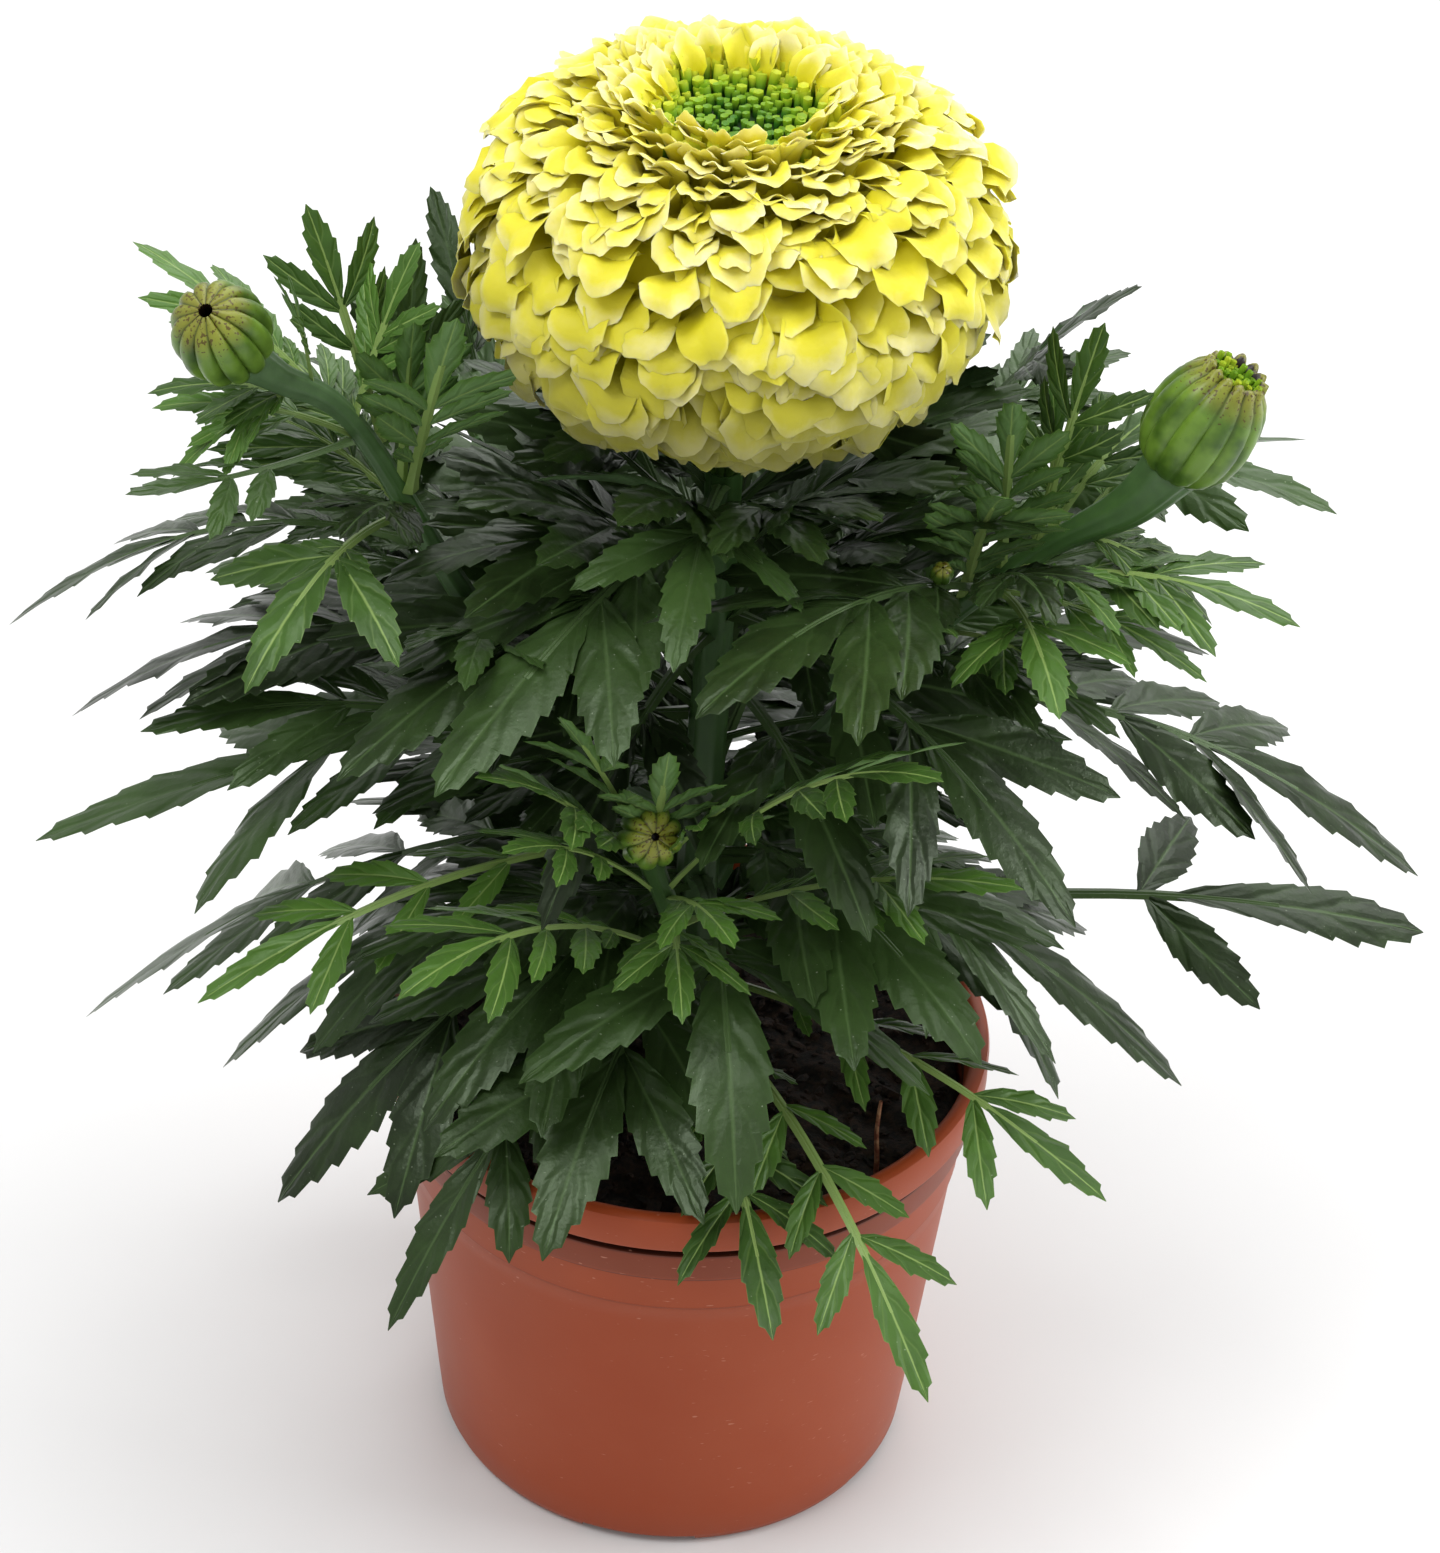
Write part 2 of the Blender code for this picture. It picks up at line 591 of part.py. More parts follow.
class Midrib:
    """A leaf's arched midrib from its foot to its tip, in one upright plane, with its own roll."""

    def __init__(self, foot, tip, arch, roll):
        self.foot, self.tip = foot, tip
        self.bend = (foot + tip) / 2 + UP * arch * (tip - foot).length
        self.level = Vector((tip.x - foot.x, tip.y - foot.y, 0)).cross(UP).normalized()
        self.roll = radians(roll)
        self.length = (self.bend - foot).length + (tip - self.bend).length

    def frame(self, share):
        """The point, forward direction, right-hand direction and upper normal at a share."""
        rest = 1 - share
        point = self.foot * rest ** 2 + self.bend * 2 * rest * share + self.tip * share ** 2
        along = ((self.bend - self.foot) * rest + (self.tip - self.bend) * share).normalized()
        side = Matrix.Rotation(self.roll * min(1, 2 * share), 3, along) @ self.level
        return point, along, side, side.cross(along)


def leaf_sheet(midrib, leaf, margin=0.0):
    """A compound leaf cut to its midrib. A margin makes it fatter all round, to test for room."""
    sheet = Sheet()
    rib = MIDRIB + 2 * margin
    blade = BLADE + 2 * margin

    def rib_row(share):
        point, _, side, normal = midrib.frame(share)
        reach = side * (leaf.rib * (1 - 0.4 * share) + margin)
        return sheet.add(point - reach, normal, rib), sheet.add(point + reach, normal, rib)

    # A short leaf has smaller blades.
    size = min(1, midrib.length / (1.85 * leaf.end))

    def leaflet(base, share, hand, length):
        """Grows one leaflet from a pair of points on the midrib's edge; hand is -1 on the left."""
        point, along, side, normal = midrib.frame(share)
        turn = radians(leaf.spread)
        out = along * cos(turn) + side * (hand * sin(turn))
        left = normal.cross(out)
        curl = (along * LEAFLET_SWEEP - normal * LEAFLET_DROOP) * length
        row = base
        for place, spread in OUTLINES[leaf.teeth]:
            reach = left * (width / 2 * spread + margin)
            centre = point + out * (length * place) + curl * place ** 2
            following = sheet.add(centre + reach, normal, blade), sheet.add(centre - reach, normal, blade)
            sheet.bridge(row, following)
            row = following
        end = point + out * (length + margin) + curl
        sheet.bridge(row, (sheet.add(end, normal, blade),))

    end_base = 1 - size * leaf.end / midrib.length
    first = leaf.bare * end_base
    half = LEAFLET_FOOT / 2 / midrib.length
    step = (end_base - 0.05 - first) / leaf.pairs
    # Neighbouring leaflets never lap over each other, however short the leaf is.
    room = 0.88 * step * midrib.length * sin(radians(leaf.spread))
    width = size * leaf.width if leaf.pairs == 1 else min(size * leaf.width, room)
    row = rib_row(0)
    for pair in range(leaf.pairs):
        share = first + step * (pair + 1)
        near, far = rib_row(share - half), rib_row(share + half)
        sheet.bridge(row, near)
        sheet.bridge(near, far)
        length = size * leaf.leaflet * (0.78 + 0.22 * (pair + 1) / leaf.pairs)
        leaflet((near[0], far[0]), share, -1, length)
        leaflet((far[1], near[1]), share, 1, length)
        row = far
    following = rib_row(end_base)
    sheet.bridge(row, following)
    row = following
    for place, spread in OUTLINES[leaf.end_teeth]:
        point, _, side, normal = midrib.frame(end_base + (1 - end_base) * place)
        reach = side * (size * leaf.end_width / 2 * spread + margin)
        following = sheet.add(point - reach, normal, blade), sheet.add(point + reach, normal, blade)
        sheet.bridge(row, following)
        row = following
    point, along, _, normal = midrib.frame(1)
    sheet.bridge(row, (sheet.add(point + along * margin, normal, blade),))
    return sheet


def swung(foot, tip, turn, lift):
    """The tip turned about the leaf's foot, sideways and then up, in degrees."""
    reach = Matrix.Rotation(radians(turn), 3, "Z") @ (tip - foot)
    side = Vector((reach.x, reach.y, 0)).cross(UP).normalized()
    return foot + Matrix.Rotation(radians(lift), 3, side) @ reach


def is_clear(sheet, others):
    corners, sides = sheet.faces()
    tree = BVHTree.FromPolygons(corners, sides)
    return not any(tree.overlap(other) for other in others)


def make_leaf(name, frond):
    """Places one leaf, moved as little as lets it lie clear of all that is there already."""
    leaf = KINDS[frond.kind]
    tip = Vector(frond.tip)
    rest = [tree for other, tree in placed.items() if other != frond.stem]
    for turn, lift, slide in SWINGS:
        centre, stem_along, radius = stem_point(STEMS[frond.stem], min(frond.share + slide, 0.99))
        outward = tip - centre
        outward = (outward - stem_along * outward.dot(stem_along)).normalized()
        foot = centre + outward * (radius + LEAF_GAP)
        midrib = Midrib(foot, swung(foot, tip, turn, lift), frond.arch, frond.roll)
        sheet = leaf_sheet(midrib, leaf)
        if is_clear(sheet, [placed[frond.stem]]) and is_clear(leaf_sheet(midrib, leaf, GAP), rest):
            break
    else:
        print("no room for", name)
    corners, sides = sheet.faces()
    origin = foot * MM
    mesh = mesh_from(name, [corner - origin for corner in corners], sides)
    keep(add_object(name, mesh, frond.finish, origin))


def main():
    for old in list(bpy.data.objects):
        bpy.data.objects.remove(old)
    make_pot()
    make_soil()
    make_stems()
    make_petals()
    make_florets()
    make_calyx()
    make_buds()
    for name, frond in FRONDS.items():
        make_leaf(name, frond)


main()
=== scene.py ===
"""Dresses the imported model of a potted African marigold: a nursery pot of potting mix, and in it one
young plant with toothed compound leaves, four buds and one large double bloom.

Metres, +Z up, -Y to the front. The pieces are made in the order in which the plant stands up: pot,
potting mix, stems, leaves, buds, bloom, and then the studio round it. Sizes are in millimetres until
a mesh is finished.
"""

import random
from collections import namedtuple
from math import atan2, cos, pi, radians, sin, sqrt

import bpy
import numpy as np
from mathutils import Matrix, Vector, noise
from mathutils.kdtree import KDTree


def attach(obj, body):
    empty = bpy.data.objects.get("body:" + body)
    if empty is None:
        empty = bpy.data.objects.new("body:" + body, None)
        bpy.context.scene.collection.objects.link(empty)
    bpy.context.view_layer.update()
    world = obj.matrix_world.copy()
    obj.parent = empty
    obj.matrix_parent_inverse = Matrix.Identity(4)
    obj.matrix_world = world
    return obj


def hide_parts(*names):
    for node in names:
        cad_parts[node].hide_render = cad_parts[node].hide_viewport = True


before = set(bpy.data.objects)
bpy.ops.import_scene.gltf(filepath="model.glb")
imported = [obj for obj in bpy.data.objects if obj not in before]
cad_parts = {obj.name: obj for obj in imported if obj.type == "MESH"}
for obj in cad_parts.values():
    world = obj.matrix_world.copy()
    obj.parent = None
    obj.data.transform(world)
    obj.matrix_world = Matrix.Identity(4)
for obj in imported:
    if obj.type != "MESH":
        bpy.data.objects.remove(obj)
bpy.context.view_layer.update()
bpy.ops.object.select_all(action="DESELECT")

# The nursery pot: one injection-moulded piece of polypropylene with a turned-down lip, a stacking
# band under it, a tapered wall and five drain recesses in the edge of its foot. It stands on that
# foot, and nothing is fixed to it.

MM = 0.001
POT_SIDES = 144
# Radius and height, from the edge of the foot up the outside, over the lip and down the inside.
POT_PROFILE = (
    (44.5, 0), (46.2, 0.25), (47.3, 1.1), (48.1, 3.0), (48.9, 10), (54.7, 67), (55.2, 71.6), (55.7, 72.1),
    (56.4, 80.6), (57.3, 80.9), (57.5, 81.4), (57.8, 87.3), (57.4, 87.6), (56.5, 87.8), (56.5, 90.1),
    (59.2, 90.2), (59.8, 90.5), (60.05, 91.1), (60.05, 96.4), (59.7, 97.5), (58.9, 98.0), (57.5, 98.0),
    (56.8, 97.6), (56.4, 96.6), (55.4, 90), (54.9, 84), (50.2, 36), (46.9, 4.2), (45.8, 3.2),
)
DRAIN_RECESSES = 5
FRONT_RECESS_TURN = radians(-98)
RECESS_SIZE = (12, 23, 4)
RECESS_ROUNDING = 1.2


def linear(hex_colour):
    """The linear red, green, blue and alpha of an sRGB hex colour."""
    shares = [int(hex_colour[i:i + 2], 16) / 255 for i in (1, 3, 5)]
    return (*((c / 12.92 if c <= 0.04045 else ((c + 0.055) / 1.055) ** 2.4) for c in shares), 1)


def add_node(tree, kind, links=(), output=0, **settings):
    """Adds a shader node, and gives back one of its outputs. links gives each input socket its number,
    its colour as a hex value, or the output that feeds it."""
    made = tree.nodes.new("ShaderNode" + kind)
    for name, value in settings.items():
        setattr(made, name, value)
    for socket, value in dict(links).items():
        if isinstance(value, bpy.types.NodeSocket):
            tree.links.new(value, made.inputs[socket])
        else:
            made.inputs[socket].default_value = linear(value) if isinstance(value, str) else value
    return made.outputs[output]


def new_material(name, **values):
    """A material whose shader has these plain values, with its node tree and shader."""
    made = bpy.data.materials.new(name)
    made.use_nodes = True
    shader = made.node_tree.nodes["Principled BSDF"]
    for socket, value in values.items():
        shader.inputs[socket.replace("_", " ")].default_value = value
    return made, made.node_tree, shader


def recalculate(piece):
    """Turns every face of a closed piece outwards."""
    bpy.context.view_layer.objects.active = piece
    bpy.ops.object.mode_set(mode="EDIT")
    bpy.ops.mesh.select_all(action="SELECT")
    bpy.ops.mesh.normals_make_consistent(inside=False)
    bpy.ops.object.mode_set(mode="OBJECT")


def raised_form(sides, profile, ring=()):
    """A closed form, extruded from its lowest disc up the rings of a profile: radius and height in
    millimetres. ring scales the disc's points one by one."""
    radius, height = profile[0]
    base = (0, 0, height * MM)
    bpy.ops.mesh.primitive_circle_add(vertices=sides, radius=radius * MM, fill_type="NGON", location=base)
    made = bpy.context.active_object
    bpy.ops.object.transform_apply(location=True)
    for vertex, share in zip(made.data.vertices, ring):
        vertex.co *= share
    bpy.ops.object.mode_set(mode="EDIT")
    bpy.ops.mesh.select_all(action="SELECT")
    for next_radius, next_height in profile[1:]:
        move = {"value": (0, 0, (next_height - height) * MM)}
        bpy.ops.mesh.extrude_region_move(TRANSFORM_OT_translate=move)
        share = next_radius / radius
        bpy.ops.transform.resize(value=(share, share, 1), center_override=(0, 0, next_height * MM))
        radius, height = next_radius, next_height
    bpy.ops.object.mode_set(mode="OBJECT")
    recalculate(made)
    return made


def finish_piece(piece, name, finish, slot, *nodes, sharp=40):
    """Names a finished mesh, gives it its material and puts it on the plant's one body."""
    piece.name = piece.data.name = name
    piece.data.materials.clear()
    piece.data.materials.append(finish)
    piece.data.shade_smooth()
    piece.data.set_sharp_from_angle(angle=radians(sharp))
    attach(piece, "root")
    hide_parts(*nodes)
    piece.select_set(False)


pot = raised_form(POT_SIDES, POT_PROFILE)
for recess in range(DRAIN_RECESSES):
    turn = FRONT_RECESS_TURN + 2 * pi * recess / DRAIN_RECESSES
    place = Vector((cos(turn), sin(turn), 0)) * (POT_PROFILE[3][0] - RECESS_SIZE[0] / 3) * MM
    bpy.ops.mesh.primitive_cube_add(size=1, location=place, rotation=(0, 0, turn))
    cutter = bpy.context.active_object
    cutter.scale = Vector(RECESS_SIZE) * MM
    soften = cutter.modifiers.new("soften", "BEVEL")
    soften.width, soften.segments = RECESS_ROUNDING * MM, 3
    cut = pot.modifiers.new("recess", "BOOLEAN")
    cut.operation, cut.object, cut.solver = "DIFFERENCE", cutter, "EXACT"
    bpy.context.view_layer.objects.active = pot
    bpy.ops.object.modifier_apply(modifier=cut.name)
    bpy.data.objects.remove(cutter)

# Each ring of painted shade, under the lip, on the band and at its steps: its height, how far it reaches up
# and down, and how dark it is.
PAINTED_SHADE_RINGS = ((88.6, 1.9, 0.95), (80.5, 0.7, 0.8), (84.4, 4.6, 0.4), (71.8, 0.6, 0.25))
# Polypropylene, moulded with a fine satin grain: terracotta brown with a wide soft sheen. Dark rings of
# painted shade lie in the groove under the lip, on the band and at its steps, and handling has left small
# pale scuffs. The grain is drawn at 0.5 mm, coarser than it is, so that it shows.
polypropylene, tree, shader = new_material(
    "moulded_polypropylene", Roughness=0.42, IOR=1.49, Specular_IOR_Level=0.26
)
place = add_node(tree, "TexCoord", output="Object")
height = add_node(tree, "SeparateXYZ", {0: place}, "Z")
clouds = add_node(tree, "TexNoise", {"Vector": place, "Scale": 24, "Detail": 6, "Roughness": 0.6})
faded = add_node(tree, "MapRange", {0: clouds, 1: 0.68, 2: 0.42, 3: 0.5, 4: 0})
layers = [(faded, "#9d4a29")]
# Painted shade: the pot is darkened in rings under the lip, on the band and at its steps.
for middle, reach, darkness in PAINTED_SHADE_RINGS:
    off = add_node(tree, "Math", {0: height, 1: middle * MM}, operation="SUBTRACT")
    off = add_node(tree, "Math", {0: off}, operation="ABSOLUTE")
    ring_shade = add_node(tree, "MapRange", {0: off, 1: 0.55 * reach * MM, 2: reach * MM, 3: darkness, 4: 0})
    layers.append((ring_shade, "#26110a"))
flat = add_node(tree, "Mapping", {"Vector": place, "Scale": (1, 1, 4)})
scuffs = add_node(tree, "TexNoise", {"Vector": flat, "Scale": 420, "Detail": 1})
hazy = add_node(tree, "Math", {0: clouds, 1: 0.4}, operation="MULTIPLY")
scuffs = add_node(tree, "Math", {0: scuffs, 1: hazy}, operation="ADD")
layers.append((add_node(tree, "MapRange", {0: scuffs, 1: 1.02, 2: 0.97, 3: 0.5, 4: 0}), "#c8907a"))
brown = "#953e1a"
for share, tint in layers:
    brown = add_node(tree, "Mix", {"Factor": share, "A": brown, "B": tint}, "Result", data_type="RGBA")
grain = add_node(tree, "TexNoise", {"Vector": place, "Scale": 2000, "Detail": 2})
relief = add_node(tree, "Bump", {"Height": grain, "Strength": 0.12, "Distance": 0.1 * MM})
tree.links.new(brown, shader.inputs["Base Color"])
tree.links.new(relief, shader.inputs["Normal"])
finish_piece(pot, "moulded_pot", polypropylene, "pot", "pot")

# The potting mix: damp dark peat and bark, poured in loose and sunk to 12 mm under the lip. Its
# surface is uneven, with crumbs of bark lying on it and a few rootlets. It bears on the pot all round.

SOIL_TOP = 86.0
SOIL_RADIUS = 54.4
SOIL_SIDES = 120
SOIL_PROFILE = (
    (46.2, 3.6), (50.6, 44), (SOIL_RADIUS, SOIL_TOP - 1.5), (53.2, SOIL_TOP),
    *((50 - 3.5 * ring, SOIL_TOP) for ring in range(13)), (4, SOIL_TOP),
)
CRUMBS = 1500
CRUMB_SIZES = (0.35, 1.0)
CRUMBS_INSIDE_RIM = 2.5
Shape = namedtuple("Shape", "points faces")


def soil_height(x, y):
    """Height of the mix's surface, in millimetres."""
    low = 1.1 * sin(0.21 * x + 1) * cos(0.17 * y) + 0.7 * sin(0.43 * y + 0.31 * x)
    return SOIL_TOP + low + 1.1 * noise.noise(Vector((x, y, 0)) * 0.35) + 0.8


def shape_of(obj):
    """The points and faces of a form that was modelled once, which is then removed from the scene."""
    mesh = obj.data
    points = np.array([vertex.co for vertex in mesh.vertices])
    faces = [tuple(polygon.vertices) for polygon in mesh.polygons]
    bpy.data.objects.remove(obj)
    return Shape(points, faces)


def joined_mesh(parts):
    """One mesh from many shapes in millimetres."""
    corners, faces, count = [], [], 0
    for part in parts:
        corners.append(part.points * MM)
        faces += [tuple(corner + count for corner in face) for face in part.faces]
        count += len(part.points)
    mesh = bpy.data.meshes.new("joined")
    mesh.from_pydata(np.concatenate(corners).tolist(), [], faces)
    mesh.update()
    return mesh


def add_object(mesh):
    made = bpy.data.objects.new(mesh.name, mesh)
    bpy.context.scene.collection.objects.link(made)
    return made


soil = raised_form(SOIL_SIDES, SOIL_PROFILE)
for vertex in soil.data.vertices:
    x, y, z = vertex.co / MM
    if z > SOIL_TOP - 0.1:
        vertex.co.z = soil_height(x, y) * MM

# Peat and composted bark, crumbled: nearly black while damp, and dull, with browner crumbs.
potting_mix, tree, shader = new_material("damp_potting_mix", Roughness=0.93, IOR=1.4)
place = add_node(tree, "TexCoord", output="Object")
patches = add_node(tree, "TexNoise", {"Vector": place, "Scale": 420, "Detail": 5, "Roughness": 0.7})
bark = add_node(tree, "MapRange", {0: patches, 1: 0.75, 2: 0.42, 3: 1, 4: 0})
colours = {"Factor": bark, "A": "#120e0b", "B": "#3d2a1d"}
tree.links.new(add_node(tree, "Mix", colours, "Result", data_type="RGBA"), shader.inputs["Base Color"])
relief = add_node(tree, "Bump", {"Height": patches, "Strength": 0.8, "Distance": 0.8 * MM})
tree.links.new(relief, shader.inputs["Normal"])
finish_piece(soil, "potting_mix", potting_mix, "soil", "soil", sharp=70)

bpy.ops.mesh.primitive_ico_sphere_add(subdivisions=1, radius=1)
crumb_form = shape_of(bpy.context.active_object)
draw = random.Random(11)
crumbs = []
for i in range(CRUMBS):
    reach = (SOIL_RADIUS - CRUMBS_INSIDE_RIM) * sqrt(draw.random())
    azimuth = draw.uniform(0, 2 * pi)
    x, y = reach * cos(azimuth), reach * sin(azimuth)
    size = draw.uniform(*CRUMB_SIZES) * draw.choice((1, 1, 1, 1.7))
    stretch = np.array((size * draw.uniform(0.8, 2.0), size, size * draw.uniform(0.4, 0.8)))
    turn = Matrix.Rotation(draw.uniform(0, pi), 3, "Z")
    turn = np.array(turn @ Matrix.Rotation(draw.uniform(-0.5, 0.5), 3, "X"))
    lumps = crumb_form.points * [[draw.uniform(0.7, 1.2)] for _ in crumb_form.points]
    middle = (x, y, soil_height(x, y) + 0.25 * size)
    crumbs.append(Shape((lumps * stretch) @ turn.T + middle, crumb_form.faces))
finish_piece(add_object(joined_mesh(crumbs)), "bark_crumbs", potting_mix, "soil", sharp=20)

# The stems: one upright main stem, and side stems that leave it in the leaf axils and carry the
# buds. They are fleshy, green and faintly ridged, widen where a branch or a leaf leaves, and grow as
# one plant. The side stems thicken into the stalks of their buds.

Stem = namedtuple("Stem", "points radii")
STEMS = {
    "main_stem": Stem(
        ((0, 0, 40), (0, 0, 90), (1, 1, 150), (2, 2, 200), (2, 0, 228.6)), (5.0, 4.4, 3.8, 3.2, 3.4)
    ),
    "branch_left": Stem(
        ((-6, -1.4, 150), (-20, -5, 163), (-45, -8, 204), (-65, -8, 240.5), (-78, -11.8, 252),
         (-85.1, -16.4, 260)),
        (2.6, 2.5, 2.3, 1.9, 2.7, 4.5),
    ),
    "branch_right": Stem(
        ((6, -1.4, 152), (19, -5, 168), (40, -10, 200), (60.5, -12, 221), (74.5, -12.4, 231),
         (82, -12.2, 240.2)),
        (2.6, 2.5, 2.3, 2.0, 3.9, 5.7),
    ),
    "branch_front": Stem(
        ((-1, -6, 112), (-1.5, -16, 120), (-4.6, -29, 146), (-8.6, -35.6, 163), (-10.3, -37.8, 172.2)),
        (2.3, 2.1, 1.9, 2.2, 3.0),
    ),
    "branch_back_left": Stem(
        ((-4.2, 4.6, 124), (-16, 18, 138), (-34, 36, 172), (-44, 46, 204)), (2.5, 2.3, 2.0, 1.6)
    ),
    "branch_back_right": Stem(
        ((4.6, 4.8, 134), (17, 18, 150), (35, 33, 184), (46, 42, 212)), (2.5, 2.3, 2.0, 1.6)
    ),
}
STEM_RIDGES = 7
STEM_SIDES = 28
RIDGE_DEPTH = 0.08
STEM_ROWS = 41
# A branch starts inside the main stem, and widens where it leaves it: by these shares, ring by ring.
BRANCH_ROOT = 4.2
ROOT_FLARE = (1.35, 1.25, 1.1)


def stem_points(points, shares):
    """Points on the smooth line through a stem's own points, at shares of its length."""
    points = np.array(points, float)
    last = len(points) - 1
    at = np.clip(shares, 0, 1) * last
    index = np.minimum(at.astype(int), last - 1)
    part = (at - index)[:, None]
    start, end = points[index], points[index + 1]
    leave = (end - points[np.maximum(index - 1, 0)]) / 2
    arrive = (points[np.minimum(index + 2, last)] - start) / 2
    blend = start * (2 * part ** 3 - 3 * part ** 2 + 1) + end * (3 * part ** 2 - 2 * part ** 3)
    return blend + leave * (part ** 3 - 2 * part ** 2 + part) + arrive * (part ** 3 - part ** 2)


def unit(vectors):
    return vectors / np.linalg.norm(vectors, axis=-1, keepdims=True)


def skin_along(centres, radii, right, up, section):
    """A closed skin along a line: section gives one cross-section's points as (right, up) shares."""
    section = np.array(section)
    rings = centres[:, None] + radii[:, None, None] * (
        section[None, :, :1] * right[:, None] + section[None, :, 1:] * up[:, None]
    )
    count, last = len(section), (len(centres) - 1) * len(section)
    faces = []
    for start in range(0, last, count):
        for i in range(count):
            j = (i + 1) % count
            faces.append((start + i, start + j, start + count + j, start + count + i))
    faces += [tuple(reversed(range(count))), tuple(range(last, last + count))]
    return Shape(rings.reshape(-1, 3), faces)


def tube(centres, radii, section):
    """A closed skin along a line, with a cross-section that doesn't twist."""
    along = unit(np.gradient(centres, axis=0))
    right = unit(np.cross(along, (0, 1, 0.01)))
    return skin_along(centres, radii, right, np.cross(right, along), section)


def ridged_section(sides, ridges, depth):
    """A round cross-section with ridges, anticlockwise as seen from the end."""
    turns = np.arange(sides) * 2 * pi / sides
    reach = 1 + depth * np.cos(turns * ridges)
    return np.stack([reach * np.cos(turns), reach * np.sin(turns)], axis=1)


# Living stem tissue: fresh green with a waxy bloom, browner near the soil and greyer by the buds.
stem_skin, tree, shader = new_material(
    "fleshy_green_stem", Roughness=0.45, IOR=1.45, Subsurface_Weight=0.08,
    Subsurface_Radius=(0.6 * MM, 1.2 * MM, 0.3 * MM),
)
place = add_node(tree, "TexCoord", output="Object")
height = add_node(tree, "SeparateXYZ", {0: place}, "Z")
streaks = add_node(tree, "TexNoise", {"Vector": place, "Scale": 300, "Detail": 4})
above_soil = add_node(tree, "MapRange", {0: height, 1: 0.2, 2: 0.09, 3: 1, 4: 0})
near_buds = add_node(tree, "MapRange", {0: height, 1: 0.262, 2: 0.232, 3: 1, 4: 0})
streaked = add_node(tree, "Math", {0: streaks, 1: 0.8}, operation="MULTIPLY")
green = "#2c3a1d"
for share, tint in ((above_soil, "#41652c"), (near_buds, "#76956a"), (streaked, "#2c4626")):
    green = add_node(tree, "Mix", {"Factor": share, "A": green, "B": tint}, "Result", data_type="RGBA")
relief = add_node(tree, "Bump", {"Height": streaks, "Strength": 0.25, "Distance": 0.3 * MM})
tree.links.new(green, shader.inputs["Base Color"])
tree.links.new(relief, shader.inputs["Normal"])

stem_lines = {}
for name, stem in STEMS.items():
    shares = np.linspace(0, 1, STEM_ROWS)
    centres = stem_points(stem.points, shares)
    radii = np.interp(shares, np.linspace(0, 1, len(stem.radii)), stem.radii)
    stem_lines[name] = centres
    if name != "main_stem":
        root = centres[0] - unit(centres[1] - centres[0]) * BRANCH_ROOT
        centres = np.concatenate([[root], centres])
        radii = np.concatenate([stem.radii[:1], radii])
        radii[:3] *= ROOT_FLARE
    form = tube(centres, radii, ridged_section(STEM_SIDES, STEM_RIDGES, RIDGE_DEPTH))
    finish_piece(add_object(joined_mesh([form])), "fleshy_" + name, stem_skin, "stems", name, sharp=80)

# Loose bits in the potting mix: a dry twig that stands near the rim, and two thin rootlets that run
# from its foot over the crumbs. Their ends are sunk in the mix.

Rootlet = namedtuple("Rootlet", "points radius")
ROOTLETS = (
    Rootlet(((37, -32.6, 82), (37, -32.8, 91), (36.6, -32, 98), (37, -31.4, 105)), 0.5),
    Rootlet(((36.8, -32.6, 85), (40, -33, 90.2), (43, -32, 90.4), (45, -29.5, 86)), 0.28),
    Rootlet(((37.2, -32.8, 85), (34, -35.6, 89.4), (31, -37.5, 88.6), (28, -39, 85)), 0.26),
)
ROOTLET_SIDES = 8

# Dead root: dry and dull, reddish brown with paler worn patches.
dry_root, tree, shader = new_material("dry_root", Roughness=0.8, IOR=1.4)
place = add_node(tree, "TexCoord", output="Object")
patches = add_node(tree, "TexNoise", {"Vector": place, "Scale": 500, "Detail": 3})
worn = add_node(tree, "MapRange", {0: patches, 1: 0.65, 2: 0.4, 3: 1, 4: 0})
colours = {"Factor": worn, "A": "#6e3d2a", "B": "#a9805e"}
tree.links.new(add_node(tree, "Mix", colours, "Result", data_type="RGBA"), shader.inputs["Base Color"])

rootlets = []
for rootlet in ROOTLETS:
    centres = stem_points(rootlet.points, np.linspace(0, 1, 19))
    radii = rootlet.radius * np.linspace(1.2, 0.7, len(centres))
    rootlets.append(tube(centres, radii, ridged_section(ROOTLET_SIDES, 3, 0.12)))
finish_piece(add_object(joined_mesh(rootlets)), "dry_rootlets", dry_root, "soil", "soil")

# The leaves: each a green midrib with toothed leaflets in pairs and a larger one at its end, thin,
# veined and a little folded along the middle. Old ones are nearly black green with a grey gloss, and
# young ones fresh green. They grow from the stems' nodes.

LEAFLET_COLUMNS = 4
# A blade's thickness, and how far its two halves fold up.
BLADE = 0.36
FOLD = radians(24)
# The share of a leaflet without teeth at its foot, and its least width there and at its tip.
PLAIN_FOOT = 0.16
FOOT_WIDTH = 0.07
TIP_WIDTH = 0.02
MIDRIB_ROWS = 14
# A midrib's thickness at its foot, just above it, at the end leaflet and in it.
MIDRIB_TAPER = (1.15, 0.8, 0.62, 0.3)
# A leaf with less length than this many end leaflets is made smaller in all.
FULL_LENGTH = 1.85
Blade = namedtuple("Blade", "points faces uvs underside tone rib", defaults=(0, 0))
